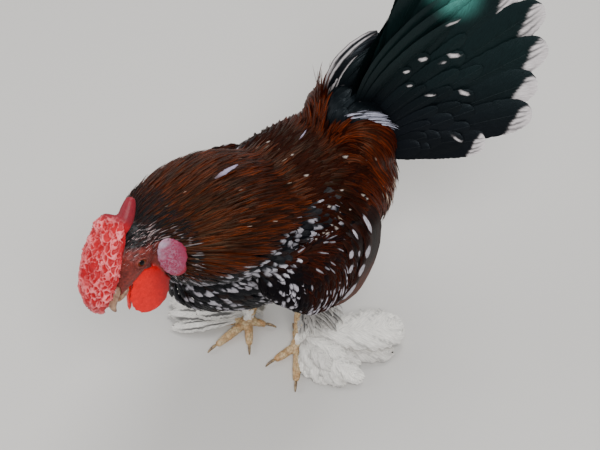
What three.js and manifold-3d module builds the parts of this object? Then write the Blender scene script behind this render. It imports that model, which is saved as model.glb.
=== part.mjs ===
// A domestic cock, standing with its neck stretched forward and its head lowered:
// rose comb, feathered shanks, low-carried wings and an open fan of a tail.
// Millimetres, +Z up. The bird faces -X, so its left side faces -Y. The floor is Z = 0,
// and the origin is the middle of the whole model's box, at floor level.
import * as THREE from "three";
import { mergeVertices } from "three/addons/utils/BufferGeometryUtils.js";
import Module from "manifold-3d";

const wasm = await Module();
wasm.setup();

// Driving dimensions
const GAP = 0.3; // between neighbouring pieces
const TRUNK_HALF_WIDTH = 76;
const TRUNK_HALF_HEIGHT = 72;
const SHANK_RADIUS = 5.4;
const TOE_RADIUS = 4.6;
// Feet: the ankle's place, degrees that the foot turns to the bird's left, the hind toe's angle.
const LEFT_FOOT = { x: 4, y: -36, turn: 46, hind: -165 };
const RIGHT_FOOT = { x: -16, y: 22, turn: 4, hind: -122 };
const TAIL_ROOT = [100, -4, 240];
const TAIL_SWING = -12; // degrees, the whole tail turned to the bird's left
const TAIL_LENGTH = 204;
const RECTRICES = 8; // main tail feathers on each side
const HEAD_AT = [-175.5, -13.8, 252.5];
const HEAD_YAW = 27; // degrees, to the bird's left
const HEAD_PITCH = 35; // degrees, beak down
const HEAD_ROLL = -19; // degrees, the left eye turned up

const rad = THREE.MathUtils.degToRad;
const v3 = (x, y, z) => new THREE.Vector3(x, y, z);

// --- shapes ---------------------------------------------------------------

// A smooth function through [t, value] stops.
function along(...stops) {
  const slope = (i) => {
    const a = stops[Math.max(i - 1, 0)];
    const b = stops[Math.min(i + 1, stops.length - 1)];
    return (b[1] - a[1]) / (b[0] - a[0]);
  };
  return (t) => {
    const last = stops.length - 2;
    const i = Math.min(last, Math.max(0, stops.findIndex((s) => s[0] > t) - 1));
    const k = t >= stops[last + 1][0] ? last : i;
    const [t0, a] = stops[k];
    const [t1, b] = stops[k + 1];
    const span = t1 - t0;
    const s = THREE.MathUtils.clamp((t - t0) / span, 0, 1);
    return (
      a * (1 + 2 * s) * (1 - s) ** 2 +
      slope(k) * span * s * (1 - s) ** 2 +
      b * s * s * (3 - 2 * s) -
      slope(k + 1) * span * s * s * (1 - s)
    );
  };
}

const path = (...points) =>
  new THREE.CatmullRomCurve3(points.map((p) => v3(...p)), false, "centripetal");

// A closed solid round a spine, with elliptic rings: width is measured towards `side`, height
// across it. `blunt` under 1 fills the ends out, `relief` adds to the radius at any place, and
// `grow` swells the whole by that much.
function loft({ spine, width, height, side, relief, blunt = 1, rings = 14, sides = 16, grow = 0 }) {
  const geometry = new THREE.SphereGeometry(1, sides, rings);
  const position = geometry.attributes.position;
  const p = v3(0, 0, 0);
  for (let i = 0; i < position.count; i++) {
    p.fromBufferAttribute(position, i);
    const s = THREE.MathUtils.clamp((1 - p.y) / 2, 0, 1);
    const ring = Math.hypot(p.x, p.z);
    const fill = ring < 1e-6 ? 0 : ring ** blunt;
    const angle = Math.atan2(p.z, p.x);
    const tangent = spine.getTangentAt(s);
    const sideways = typeof side === "function" ? side(s) : v3(...(side ?? [0, 1, 0]));
    const across = sideways.addScaledVector(tangent, -sideways.dot(tangent)).normalize();
    const up = v3(0, 0, 0).crossVectors(tangent, across);
    const c = Math.cos(angle);
    const z = Math.sin(angle);
    const more = (relief ? relief(s, angle) : 0) * fill + grow * ring;
    p.copy(spine.getPointAt(s))
      .addScaledVector(across, c * (width(s) * fill + more))
      .addScaledVector(up, z * (height(s) * fill + more))
      .addScaledVector(tangent, -grow * Math.sqrt(Math.max(0, 1 - ring * ring)) * Math.sign(0.5 - s));
    position.setXYZ(i, p.x, p.y, p.z);
  }
  return geometry;
}

// A thin curved plate: place(u, v) is its middle surface for u and v from 0 to 1.
function plate({ place, thick, across = 12, lengthways = 6, grow = 0 }) {
  const geometry = new THREE.BoxGeometry(1, 1, 1, across, lengthways, 1);
  const position = geometry.attributes.position;
  const step = 0.01;
  for (let i = 0; i < position.count; i++) {
    const u = position.getX(i) + 0.5;
    const v = position.getY(i) + 0.5;
    const face = Math.sign(position.getZ(i));
    const du = place(u + step, v).sub(place(u - step, v));
    const dv = place(u, v + step).sub(place(u, v - step));
    const normal = v3(0, 0, 0).crossVectors(du, dv).normalize();
    const p = place(u, v).addScaledVector(normal, face * (thick(u, v) / 2 + grow));
    if (grow > 0) {
      p.addScaledVector(du.normalize(), grow * 2 * (u < 0.001 ? -1 : u > 0.999 ? 1 : 0));
      p.addScaledVector(dv.normalize(), grow * 2 * (v < 0.001 ? -1 : v > 0.999 ? 1 : 0));
    }
    position.setXYZ(i, p.x, p.y, p.z);
  }
  return geometry;
}

// --- solids ---------------------------------------------------------------

function solid(geometry) {
  const bare = geometry.clone();
  bare.deleteAttribute("normal");
  bare.deleteAttribute("uv");
  const merged = mergeVertices(bare, 1e-3);
  const made = new wasm.Manifold(
    new wasm.Mesh({
      numProp: 3,
      vertProperties: new Float32Array(merged.attributes.position.array),
      triVerts: new Uint32Array(merged.index.array),
    }),
  );
  return made.volume() >= 0 ? made : solid(insideOut(merged));
}

function insideOut(geometry) {
  const index = geometry.index.array;
  for (let i = 0; i < index.length; i += 3) [index[i + 1], index[i + 2]] = [index[i + 2], index[i + 1]];
  return geometry;
}

// Cuts leave crumbs now and then: only the largest body is the piece.
function largest(made) {
  return made.decompose().reduce((a, b) => (a.volume() > b.volume() ? a : b));
}

function geometryOf(made) {
  const mesh = made.getMesh();
  return new THREE.BufferGeometry()
    .setAttribute("position", new THREE.BufferAttribute(mesh.vertProperties.slice(), 3))
    .setIndex(new THREE.BufferAttribute(mesh.triVerts.slice(), 1));
}

const union = (solids) => solids.reduce((a, b) => a.add(b));

// Everything above (or, with `below`, under) a level plane, as a big block.
function slab(low, high) {
  const box = new THREE.BoxGeometry(2000, 2000, high - low);
  box.translate(0, 0, (low + high) / 2);
  return solid(box);
}

const placed = []; // the grown shapes of what is already there
const FLOOR = slab(-500, 0);

// Adds a piece to its group, cut back from everything added before it. `shape(grow)` makes its
// solid in the bird's frame, and the geometry is then carried into the group's own frame.
function add(name, group, shape, material) {
  const cut = placed.reduce((a, b) => a.subtract(b), shape(0)).subtract(FLOOR);
  const geometry = geometryOf(largest(cut)).applyMatrix4(group.matrixWorld.clone().invert());
  geometry.computeVertexNormals();
  const mesh = new THREE.Mesh(geometry, material);
  mesh.name = name;
  group.add(mesh);
  placed.push(shape(GAP));
}

// The same for a pair of pieces: shape(side, grow) with side -1 for the left, +1 for the right,
// in one group or in a group for each side.
function addPair(name, group, shape, material) {
  for (const [word, side] of [["left", -1], ["right", 1]])
    add(name.replace("SIDE", word), group[side] ?? group, (grow) => shape(side, grow), material);
}

// --- the bird's frames --------------------------------------------------------

const cock = new THREE.Group();

// The head's frame is between the eyes, with the beak towards -X.
const head = new THREE.Group();
head.position.set(...HEAD_AT);
head.rotation.set(rad(HEAD_ROLL), rad(-HEAD_PITCH), rad(HEAD_YAW), "ZYX");
cock.add(head);

// Each leg's frame is on the floor under its ankle, with the middle toe towards -X.
const legs = {};
for (const [side, { x, y, turn }] of [[-1, LEFT_FOOT], [1, RIGHT_FOOT]]) {
  legs[side] = new THREE.Group();
  legs[side].position.set(x, y, 0);
  legs[side].rotation.z = rad(turn);
  cock.add(legs[side]);
}
cock.updateMatrixWorld(true);

// --- materials --------------------------------------------------------------

const finish = (color, roughness) => new THREE.MeshStandardMaterial({ color, roughness, metalness: 0 });
const MAHOGANY = finish(0x5a2a17, 0.6);
const BLACK_GREEN = finish(0x10191b, 0.4);
const WHITE_FEATHER = finish(0xd9d6cf, 0.7);
const COMB_RED = finish(0xc93a40, 0.5);
const LOBE_MAUVE = finish(0xb05a74, 0.5);
const FACE_RED = finish(0xa8524a, 0.6);
const HORN = finish(0xb59a72, 0.4);
const SCALE_YELLOW = finish(0xd2a45c, 0.5);
const EYE_BROWN = finish(0x2a140a, 0.1);

// --- head -------------------------------------------------------------------

const onHead = (geometry) => solid(geometry.applyMatrix4(head.matrixWorld));
const headPoint = (x, y, z) => v3(x, y, z).applyMatrix4(head.matrixWorld);

const EYE = { x: 2, y: 17.4, z: 1.5, radius: 5.6 };

const skull = (grow) =>
  onHead(
    loft({
      spine: path([-30, 0, -2], [-15, 0, -1], [6, 0, 0], [34, 0, -5]),
      width: along([0, 8], [0.25, 13], [0.5, 19], [0.8, 22], [1, 20]),
      height: along([0, 8], [0.25, 12], [0.5, 17], [0.8, 21], [1, 22]),
      blunt: 0.7,
      rings: 10,
      sides: 14,
      grow,
    }),
  );

const upperBeak = (grow) =>
  onHead(
    loft({
      spine: path([-20, 0, 2], [-31, 0, 1.5], [-39, 0, -3], [-42.5, 0, -10]),
      width: along([0, 8], [0.4, 6.4], [0.8, 3.2], [1, 1.6]),
      height: along([0, 6.4], [0.4, 5.2], [0.8, 3], [1, 1.6]),
      blunt: 0.5,
      rings: 8,
      sides: 10,
      grow,
    }),
  );

const lowerBeak = (grow) =>
  onHead(
    loft({
      spine: path([-18, 0, -9.2], [-27, 0, -9], [-34, 0, -7.8]),
      width: along([0, 7.2], [0.5, 5.4], [1, 2]),
      height: along([0, 4], [0.5, 3], [1, 1.2]),
      blunt: 0.5,
      rings: 6,
      sides: 10,
      grow,
    }),
  );

// A rose comb: a broad low cushion covered with small knobs, ending in a smooth round spike.
const COMB_ROWS = 8;
const COMB_COLUMNS = 7;
const KNOB = 1.7;
function comb(grow) {
  const cushion = loft({
    spine: path([-47, 2, 12], [-32, 2, 20], [-4, 2, 27], [34, 3, 30]),
    width: along([0, 14], [0.25, 20], [0.6, 21], [0.9, 19], [1, 17]),
    height: along([0, 8.5], [0.35, 11], [0.7, 11], [1, 9.5]),
    relief: (s, angle) => KNOB * Math.sin(2 * Math.PI * COMB_ROWS * s) * Math.cos(COMB_COLUMNS * angle),
    blunt: 0.4,
    rings: 16,
    sides: 18,
    grow,
  });
  const spike = loft({
    spine: path([20, -4, 24], [37, -6, 26], [53, -7, 29]),
    width: along([0, 9], [0.5, 7.2], [1, 5.8]),
    height: along([0, 9], [0.5, 7.2], [1, 5.8]),
    blunt: 0.5,
    rings: 7,
    sides: 10,
    grow,
  });
  return union([onHead(cushion), onHead(spike)]);
}

const eye = (side, grow) => {
  const ball = new THREE.SphereGeometry(EYE.radius + grow, 12, 8);
  ball.rotateX(Math.PI / 2);
  ball.translate(EYE.x, side * (EYE.y - 3.2), EYE.z);
  return onHead(ball);
};

// A level direction, so many degrees outward from the head's own line.
const splayed = (side, degrees) => {
  const turn = rad(HEAD_YAW + side * degrees);
  return [Math.cos(turn), Math.sin(turn), 0];
};

// An ear lobe: a flat oval that hangs behind and below the eye, over the feathers of the neck.
const lobe = (side, grow) => {
  const top = headPoint(28, side * 25, -6);
  const low = top.clone().add(v3(10, side * 12, -42));
  return solid(
    loft({
      spine: new THREE.LineCurve3(top, low),
      width: along([0, 12.4], [0.5, 13.8], [1, 13.4]),
      height: along([0, 3.2], [0.5, 3.8], [1, 3.6]),
      side: splayed(side, 38),
      blunt: 0.9,
      rings: 8,
      sides: 10,
      grow,
    }),
  );
};

// A wattle: a round flap from the jaw, drawn in where it grows out and free at its edge.
// The right one swings in under the beak.
const wattle = (side, grow) => {
  const top = side < 0 ? headPoint(0.5, -10, -16) : headPoint(-4, 8, -17);
  const low = top.clone().add(side < 0 ? v3(-2, -10, -46) : v3(-2, 3, -46));
  return solid(
    loft({
      spine: new THREE.LineCurve3(top, low),
      width: along([0, 18], [0.5, 21.5], [1, 21]),
      height: along([0, 3.6], [0.5, 2.8], [1, 2.6]),
      side: splayed(side, 27),
      blunt: 0.9,
      rings: 8,
      sides: 10,
      grow,
    }),
  );
};

// --- neck and trunk -----------------------------------------------------------

const headBack = headPoint(24, 0, -2);
const neck = (grow) =>
  solid(
    loft({
      spine: path([24, 0, 198], [-50, 2, 216], [-112, 4, 232], headBack.toArray()),
      width: along([0, 58], [0.35, 70], [0.6, 67], [0.8, 54], [0.92, 39], [1, 28]),
      height: along([0, 38], [0.35, 50], [0.6, 50], [0.8, 44], [0.92, 35], [1, 27]),
      blunt: 0.5,
      rings: 13,
      sides: 16,
      grow,
    }),
  );

const trunk = (grow) =>
  solid(
    loft({
      spine: path([-126, 0, 166], [-70, 0, 164], [0, 0, 172], [70, 0, 194], [138, -6, 236]),
      width: along([0, 46], [0.25, 66], [0.5, TRUNK_HALF_WIDTH], [0.75, 72], [1, 46]),
      height: along([0, 48], [0.25, 70], [0.5, TRUNK_HALF_HEIGHT], [0.75, 58], [1, 36]),
      blunt: 0.7,
      rings: 13,
      sides: 18,
      grow,
    }),
  );

// --- wings --------------------------------------------------------------------

const WING_FLIGHTS = 8;
function wingShield(side, grow) {
  return solid(
    loft({
      spine: path([-74, side * 64, 198], [-40, side * 80, 186], [0, side * 86, 170], [38, side * 80, 158]),
      width: along([0, 10], [0.5, 12], [1, 8]),
      height: along([0, 25], [0.3, 33], [0.6, 43], [1, 36]),
      side: [0, 1, 0.25 * side],
      blunt: 0.7,
      rings: 8,
      sides: 10,
      grow,
    }),
  );
}

// The flight feathers fan out from under the shield: u runs from the topmost to the lowest.
function wingFlights(side, grow) {
  const place = (u, v) => {
    const angle = rad(THREE.MathUtils.lerp(6, -76, u));
    const scallop = 4 * Math.abs(Math.sin(u * Math.PI * WING_FLIGHTS));
    const reach = 36 + (44 + 20 * Math.sin(Math.PI * Math.min(1, u * 0.95)) + scallop) * v;
    const x = -28 + reach * Math.cos(angle);
    const z = 186 + reach * Math.sin(angle);
    const bulge = 87 - 0.0016 * (x + 5) ** 2 - 0.0012 * (z - 160) ** 2;
    return v3(x, side * bulge, z);
  };
  return solid(plate({ place, thick: (u, v) => 6 - 3 * v, across: 16, lengthways: 2, grow }));
}

// --- tail ---------------------------------------------------------------------

// A point of the tail, from its direction (degrees up, degrees to the side) and its reach. The
// lower and outer a feather is, the wider from the middle it grows: u is 0 at the top, 1 below.
function fromTailRoot(rise, spread, reach, droop = 0, u = 0, side = 0) {
  const turn = rad(spread + TAIL_SWING);
  const flat = reach * Math.cos(rad(rise));
  return v3(
    TAIL_ROOT[0] - 8 * u + flat * Math.cos(turn),
    TAIL_ROOT[1] + side * 32 * u + flat * Math.sin(turn),
    TAIL_ROOT[2] - 20 * u + reach * Math.sin(rad(rise)) - droop * reach * reach,
  );
}

// One half of the fan: u runs from the topmost feather to the lowest, outermost one.
const featherLength = along([0, 0.98], [0.25, 1.04], [0.39, 1.07], [0.54, 0.98], [0.66, 0.85], [0.8, 0.76], [0.92, 0.52], [1, 0.4]);
const tailFan = (side, grow) => {
  const place = (u, v) => {
    const scallop = 0.07 * Math.abs(Math.sin(u * Math.PI * RECTRICES));
    const tip = TAIL_LENGTH * (0.93 + scallop) * featherLength(u);
    const reach = 18 + (tip - 18) * v;
    const rise = THREE.MathUtils.lerp(66, 17, u);
    const spread = side * (2 + 34 * Math.max(u, 0) ** 0.8);
    const inward = v3(0, side * (2 + 5 * v * (1 - u)), 0);
    return fromTailRoot(rise, spread, reach, 0.0005, u, side).add(inward);
  };
  return solid(plate({ place, thick: (u, v) => 3.6 - 1.4 * v, across: 24, lengthways: 2, grow }));
};

// The two sickle feathers arch over the top of the fan.
const sickle = (side, grow) => {
  const place = (u, v) => {
    const reach = 30 + 178 * v;
    const middle = fromTailRoot(80 - 26 * v, side * 4, reach, 0.0004).add(v3(-12, 0, -2));
    const wide = 22 * Math.sin(Math.PI * Math.min(0.97, 0.12 + 0.86 * v)) ** 0.6;
    return middle.add(v3(-(u - 0.5) * wide * 0.85, side * (2.4 + 9 * v), (u - 0.5) * wide * 0.5));
  };
  return solid(plate({ place, thick: () => 2.2, across: 2, lengthways: 8, grow }));
};

// The short feathers that cover the root of the tail.
const coverts = (grow) =>
  solid(
    loft({
      spine: path([62, 2, 222], [92, 0, 238], [116, -4, 262]),
      width: along([0, 46], [0.5, 52], [1, 46]),
      height: along([0, 26], [0.5, 34], [1, 32]),
      blunt: 0.6,
      rings: 9,
      sides: 12,
      grow,
    }),
  );

// --- legs ---------------------------------------------------------------------


// A point in a leg's frame: so far ahead of the ankle, so far outward, and so high.
const legPoint = (side, ahead, out, height) =>
  v3(-ahead, side * out, height).applyMatrix4(legs[side].matrixWorld);
const legPath = (side, ...points) =>
  new THREE.CatmullRomCurve3(points.map((p) => legPoint(side, ...p)), false, "centripetal");
const HOCK = [-30, -2, 86];

const thigh = (side, grow) =>
  solid(
    loft({
      spine: new THREE.CatmullRomCurve3([v3(-22, side * 40, 152), v3(2, side * 40, 122), legPoint(side, ...HOCK)]),
      width: along([0, 28], [0.5, 25], [1, 13]),
      height: along([0, 32], [0.5, 30], [1, 14]),
      blunt: 0.6,
      rings: 8,
      sides: 12,
      grow,
    }),
  );

const shank = (side, grow) =>
  solid(
    loft({
      spine: legPath(side, HOCK, [-13, 0, 46], [-2, 0, 9]),
      width: along([0, 8], [0.4, SHANK_RADIUS - 0.4], [1, 7]),
      height: along([0, 8.5], [0.4, SHANK_RADIUS], [1, 7]),
      blunt: 0.5,
      rings: 6,
      sides: 8,
      grow,
    }),
  );

// A spur stands out from the inner side of the shank, the left one squarely and the right one back.
const SPURS = {
  "-1": [[-17, -3, 48], [-19, -17, 47], [-20, -31, 50]],
  1: [[-16, -3, 46], [-24, -13, 45], [-31, -22, 48]],
};
const spur = (side, grow) =>
  solid(
    loft({
      spine: legPath(side, ...SPURS[side]),
      width: along([0, 4.2], [0.6, 2.8], [1, 1.2]),
      height: along([0, 4.2], [0.6, 2.8], [1, 1.2]),
      side: [0, 0, 1],
      blunt: 0.5,
      rings: 6,
      sides: 8,
      grow,
    }),
  );

// The toes: degrees out from the middle toe (towards the bird's outside), length, thickness. The
// hind toe's angle is each foot's own.
const TOES = [
  { name: "inner", angle: -48, length: 33, radius: TOE_RADIUS * 0.95 },
  { name: "middle", angle: 0, length: 48, radius: TOE_RADIUS },
  { name: "outer", angle: 42, length: 38, radius: TOE_RADIUS * 0.92 },
  { name: "hind", length: 20, radius: TOE_RADIUS * 0.86 },
];
const CLAW_LENGTH = 11;

const toePoint = (side, toe, reach, height) => {
  const angle = rad(toe.angle ?? (side < 0 ? LEFT_FOOT : RIGHT_FOOT).hind);
  return legPoint(side, reach * Math.cos(angle), reach * Math.sin(angle), height);
};

function foot(side, grow) {
  const toes = TOES.map((toe) =>
    solid(
      loft({
        spine: new THREE.CatmullRomCurve3([
          toePoint(side, toe, -2, 5.2),
          toePoint(side, toe, toe.length * 0.45, 4.1),
          toePoint(side, toe, toe.length, 3.3),
        ]),
        width: (s) => toe.radius * (1 + 0.1 * Math.cos(s * Math.PI * 6)) * (1.06 - 0.12 * s),
        height: (s) => toe.radius * (1.1 - 0.12 * s),
        side: [0, 0, 1],
        blunt: 0.4,
        rings: 5,
        sides: 6,
        grow,
      }),
    ),
  );
  const pad = new THREE.SphereGeometry(8 + grow, 8, 5).scale(1, 1, 0.8);
  pad.translate(0, 0, 5.4);
  return union([...toes, solid(pad.applyMatrix4(legs[side].matrixWorld))]);
}

const claw = (toe) => (side, grow) =>
  solid(
    loft({
      spine: new THREE.CatmullRomCurve3([
        toePoint(side, toe, toe.length - 2, 4.4),
        toePoint(side, toe, toe.length + CLAW_LENGTH * 0.5, 4.4),
        toePoint(side, toe, toe.length + CLAW_LENGTH, 1.4),
      ]),
      width: along([0, 2.6], [1, 1]),
      height: along([0, 2.2], [1, 1]),
      side: [0, 0, 1],
      blunt: 0.5,
      rings: 5,
      sides: 6,
      grow,
    }),
  );

// Soft feathers clothe the outer side of each shank, down to the toes.
const boot = (side, grow) =>
  solid(
    loft({
      spine: legPath(side, [-31, 6, 84], [-16, 15, 48], [0, 20, 17]),
      width: along([0, 15], [0.4, 19], [1, 15]),
      height: along([0, 15], [0.5, 19], [1, 19]),
      blunt: 0.6,
      rings: 8,
      sides: 10,
      grow,
    }),
  );

// Stiffer feathers fan out flat from the outer toe, clear of the floor.
const TOE_VANES = 5;
const toeFan = (side, grow) => {
  const length = side < 0 ? along([0, 46], [0.3, 62], [0.75, 84], [1, 70]) : along([0, 60], [1, 66]);
  const place = (u, v) => {
    const angle = rad(THREE.MathUtils.lerp(26, 108, u));
    const scallop = 7 * Math.abs(Math.sin(u * Math.PI * TOE_VANES));
    const reach = 12 + (length(u) + scallop) * v;
    const height = 9 + 12 * u + 6 * v * u;
    return legPoint(side, reach * Math.cos(angle), reach * Math.sin(angle), height);
  };
  return solid(plate({ place, thick: (u, v) => 5 - 3 * v, across: 12, lengthways: 1, grow }));
};

// --- assembly -------------------------------------------------------------------

addPair("eye_SIDE", head, eye, EYE_BROWN);
add("upper_beak", head, upperBeak, HORN);
add("lower_beak", head, lowerBeak, HORN);
add("comb", head, comb, COMB_RED);
addPair("ear_lobe_SIDE", head, lobe, LOBE_MAUVE);
add("head", head, skull, FACE_RED);
addPair("wattle_SIDE", head, wattle, COMB_RED);
addPair("wing_SIDE", cock, wingShield, MAHOGANY);
addPair("wing_flights_SIDE", cock, wingFlights, MAHOGANY);
add("neck", cock, neck, MAHOGANY);
add("trunk", cock, trunk, MAHOGANY);
addPair("sickle_SIDE", cock, sickle, BLACK_GREEN);
add("tail_coverts", cock, coverts, BLACK_GREEN);
addPair("tail_SIDE", cock, tailFan, BLACK_GREEN);
for (const toe of TOES) addPair(`claw_SIDE_${toe.name}`, legs, claw(toe), HORN);
addPair("foot_SIDE", legs, foot, SCALE_YELLOW);
addPair("spur_SIDE", legs, spur, HORN);
addPair("shank_SIDE", legs, shank, SCALE_YELLOW);
addPair("thigh_SIDE", cock, thigh, WHITE_FEATHER);
addPair("boot_SIDE", legs, boot, WHITE_FEATHER);
addPair("toe_fan_SIDE", legs, toeFan, WHITE_FEATHER);

// The origin goes to the middle of the bird's box, on the floor.
const box = new THREE.Box3().setFromObject(cock, true);
cock.position.set(-(box.min.x + box.max.x) / 2, -(box.min.y + box.max.y) / 2, 0);

export default cock;
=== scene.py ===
import math

import bmesh
import bpy
import numpy as np
from mathutils import Euler, Matrix, Vector, noise
from mathutils.bvhtree import BVHTree


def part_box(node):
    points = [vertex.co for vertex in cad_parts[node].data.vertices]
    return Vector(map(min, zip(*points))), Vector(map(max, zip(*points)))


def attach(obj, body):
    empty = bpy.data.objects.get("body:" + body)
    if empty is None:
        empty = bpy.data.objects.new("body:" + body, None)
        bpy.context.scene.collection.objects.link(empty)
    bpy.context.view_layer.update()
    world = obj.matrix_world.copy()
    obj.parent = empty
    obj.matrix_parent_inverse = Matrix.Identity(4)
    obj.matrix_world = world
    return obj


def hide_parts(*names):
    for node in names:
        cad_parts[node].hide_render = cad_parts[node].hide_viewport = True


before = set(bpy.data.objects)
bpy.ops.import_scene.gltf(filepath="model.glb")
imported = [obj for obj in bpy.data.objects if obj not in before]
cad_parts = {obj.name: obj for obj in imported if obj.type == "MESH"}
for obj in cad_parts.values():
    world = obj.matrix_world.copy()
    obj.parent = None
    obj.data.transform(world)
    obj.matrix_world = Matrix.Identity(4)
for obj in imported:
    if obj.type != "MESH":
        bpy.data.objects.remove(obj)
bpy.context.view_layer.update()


# --- The stage: a plain pale floor, soft studio light and the camera ----------
# The camera looks down on the cock's left side from ahead of it. The floor and the
# lights belong to the studio, not to the bird.

MM = 0.001
# The bird's own frame, in millimetres: its trunk's middle is at X 0, Y 0 and it faces -X.
BIRD_AT = np.array([-9.087, 11.067, 0])


def to_bird(places):
    """Places of the scene, in metres, as places of the bird's frame."""
    return np.asarray(places) / MM - BIRD_AT


def to_row(places):
    """Places of the bird's frame as places of the scene, in metres."""
    return (np.asarray(places) + BIRD_AT) * MM


CAMERA_AIM = Vector(to_row((0, 0, 160)))
CAMERA_TURN, CAMERA_RISE, CAMERA_REACH = math.radians(-40), math.radians(48), 1.25
CAMERA_LENS, SENSOR_WIDTH = 77.4, 36
CAMERA_SHIFT = 0.0417

toward_camera = Vector((
    math.sin(CAMERA_TURN) * math.cos(CAMERA_RISE),
    -math.cos(CAMERA_TURN) * math.cos(CAMERA_RISE),
    math.sin(CAMERA_RISE),
))
camera = bpy.data.objects.new("camera", bpy.data.cameras.new("camera"))
camera.data.lens = CAMERA_LENS
camera.data.sensor_width = SENSOR_WIDTH
camera.data.shift_x = CAMERA_SHIFT
camera.location = CAMERA_AIM + toward_camera * CAMERA_REACH
camera.rotation_euler = toward_camera.to_track_quat("Z", "Y").to_euler()
bpy.context.scene.collection.objects.link(camera)
bpy.context.scene.camera = camera


def new_material(name):
    """A node material, with its Principled shader and a function that adds a node."""
    material = bpy.data.materials.new(name)
    material.use_nodes = True
    nodes, links = material.node_tree.nodes, material.node_tree.links

    def add(kind, inputs=(), **settings):
        node = nodes.new(kind)
        for key, value in settings.items():
            setattr(node, key, value)
        for key, value in dict(inputs).items():
            if isinstance(value, bpy.types.NodeSocket):
                links.new(value, node.inputs[key])
            else:
                node.inputs[key].default_value = value
        return node

    return material, nodes["Principled BSDF"], add, links


def set_finish(node, values):
    """Sets a node's own constant inputs by name."""
    for key, value in values.items():
        node.inputs[key].default_value = value


def place_on_scene(name, mesh, material):
    piece = bpy.data.objects.new(name, mesh)
    mesh.materials.append(material)
    bpy.context.scene.collection.objects.link(piece)
    return piece


FLOOR_PALE, FLOOR_REACH = (0.62, 0.6, 0.57, 1), 6
floor_material, floor_shader, *_ = new_material("studio_floor")
set_finish(floor_shader, {"Base Color": FLOOR_PALE, "Roughness": 0.9})
ground = bmesh.new()
bmesh.ops.create_grid(ground, x_segments=1, y_segments=1, size=FLOOR_REACH)
floor_mesh = bpy.data.meshes.new("studio_floor")
ground.to_mesh(floor_mesh)
ground.free()
place_on_scene("studio_floor", floor_mesh, floor_material)

SKY_PALE, SKY_STRENGTH = (0.93, 0.96, 1, 1), 0.42
LAMPS = (  # name, place, watts and size
    ("key", (-0.7, -1.1, 1.9), 42, 0.8),
    ("top", (0.9, 0.6, 1.9), 26, 1.0),
    ("rim", (-1.2, 1.3, 1.2), 12, 1.2),
)
world = bpy.data.worlds.new("studio")
world.use_nodes = True
set_finish(world.node_tree.nodes["Background"], {"Color": SKY_PALE, "Strength": SKY_STRENGTH})
bpy.context.scene.world = world
for name, place, watts, size in LAMPS:
    lamp = bpy.data.objects.new(name, bpy.data.lights.new(name, "AREA"))
    lamp.data.energy, lamp.data.size = watts, size
    lamp.location = place
    lamp.rotation_euler = (Vector(place) - CAMERA_AIM).to_track_quat("Z", "Y").to_euler()
    bpy.context.scene.collection.objects.link(lamp)


# --- The skin: one skin over the whole body -------------------------------------
# Bare on the comb, face, ear lobes, wattles, shanks and feet. Under the feathers it has
# their ground colours and lies deeper by the coat's depth.

SIDES = {"left": -1, "right": 1}  # the bird's left is towards -Y
FLESH = ["head", "comb", "neck", "trunk", "tail_coverts"] + [
    f"{part}_{side}"
    for part in ("ear_lobe", "wattle", "wing", "thigh", "shank", "foot")
    for side in SIDES
]
BARE = ("head", "comb", "ear_lobe", "wattle", "shank", "foot")
SKIN_GRAIN = 1.5  # the size of the skin's first mesh
SWELL = 0.25  # closes the gaps between the solids
COAT_DEPTH = 6.0
FINE_RINGS = 6  # how many rings of faces round the bare parts stay fine
KEPT_FACES = 0.22  # the share of the first mesh's faces that is kept
SKIN_SMOOTHING = 8

# The head's own frame is between the eyes, with the beak towards -X.
head_frame = Matrix.Translation(Vector((-175.5, -13.8, 252.5))) @ Euler(
    [math.radians(a) for a in (-19, -35, 27)]
).to_matrix().to_4x4()
to_head = head_frame.inverted()
EYE_MIDDLE = Vector((2, 14.2, 1.5))  # of the right eye, and the left one is its mirror image
EYE_RADIUS, EYE_OPENING = 5.6, 4.4
EYE_AXIS = Vector((-0.12, 1, 0.42)).normalized()


def as_array(mesh, layer="vertices", field="co", width=3):
    """A field of the mesh's vertices, edges or triangles, one row each."""
    found = np.empty(len(getattr(mesh, layer)) * width)
    getattr(mesh, layer).foreach_get(field, found)
    return found.reshape(-1, width) if width > 1 else found


def smooth_step(low, high, value):
    """0 at low and 1 at high, with an even rise between."""
    t = np.clip((np.asarray(value, float) - low) / (high - low), 0, 1)
    return t * t * (3 - 2 * t)


def cad_copy(names, swell):
    """The named solids as one mesh of closed bodies, a little swollen, in metres."""
    shape = bmesh.new()
    for name in names:
        shape.from_mesh(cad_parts[name].data)
    bmesh.ops.remove_doubles(shape, verts=shape.verts, dist=1e-5)
    shape.normal_update()
    for v in shape.verts:
        v.co += v.normal * swell * MM
    mesh = bpy.data.meshes.new("flesh")
    shape.to_mesh(mesh)
    shape.free()
    return mesh


def applied(piece):
    """The piece's mesh with its modifiers applied. The piece itself is removed."""
    graph = bpy.context.evaluated_depsgraph_get()
    mesh = bpy.data.meshes.new_from_object(piece.evaluated_get(graph))
    old = piece.data
    bpy.data.objects.remove(piece)
    bpy.data.meshes.remove(old)
    return mesh


def fused(names, grain):
    """One closed surface round the named solids, without the hollows inside it."""
    piece = bpy.data.objects.new("fused", cad_copy(names, SWELL))
    bpy.context.scene.collection.objects.link(piece)
    remesh = piece.modifiers.new("fuse", "REMESH")
    remesh.mode, remesh.voxel_size = "VOXEL", grain * MM
    mesh = applied(piece)
    shape = bmesh.new()
    shape.from_mesh(mesh)
    unseen, islands = set(shape.verts), []
    while unseen:
        island, edge = set(), [unseen.pop()]
        while edge:
            v = edge.pop()
            island.add(v)
            near = {e.other_vert(v) for e in v.link_edges} & unseen
            unseen -= near
            edge.extend(near)
        islands.append(island)
    body = max(islands, key=len)
    bmesh.ops.delete(shape, geom=[v for v in shape.verts if v not in body])
    shape.to_mesh(mesh)
    shape.free()
    return mesh


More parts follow.
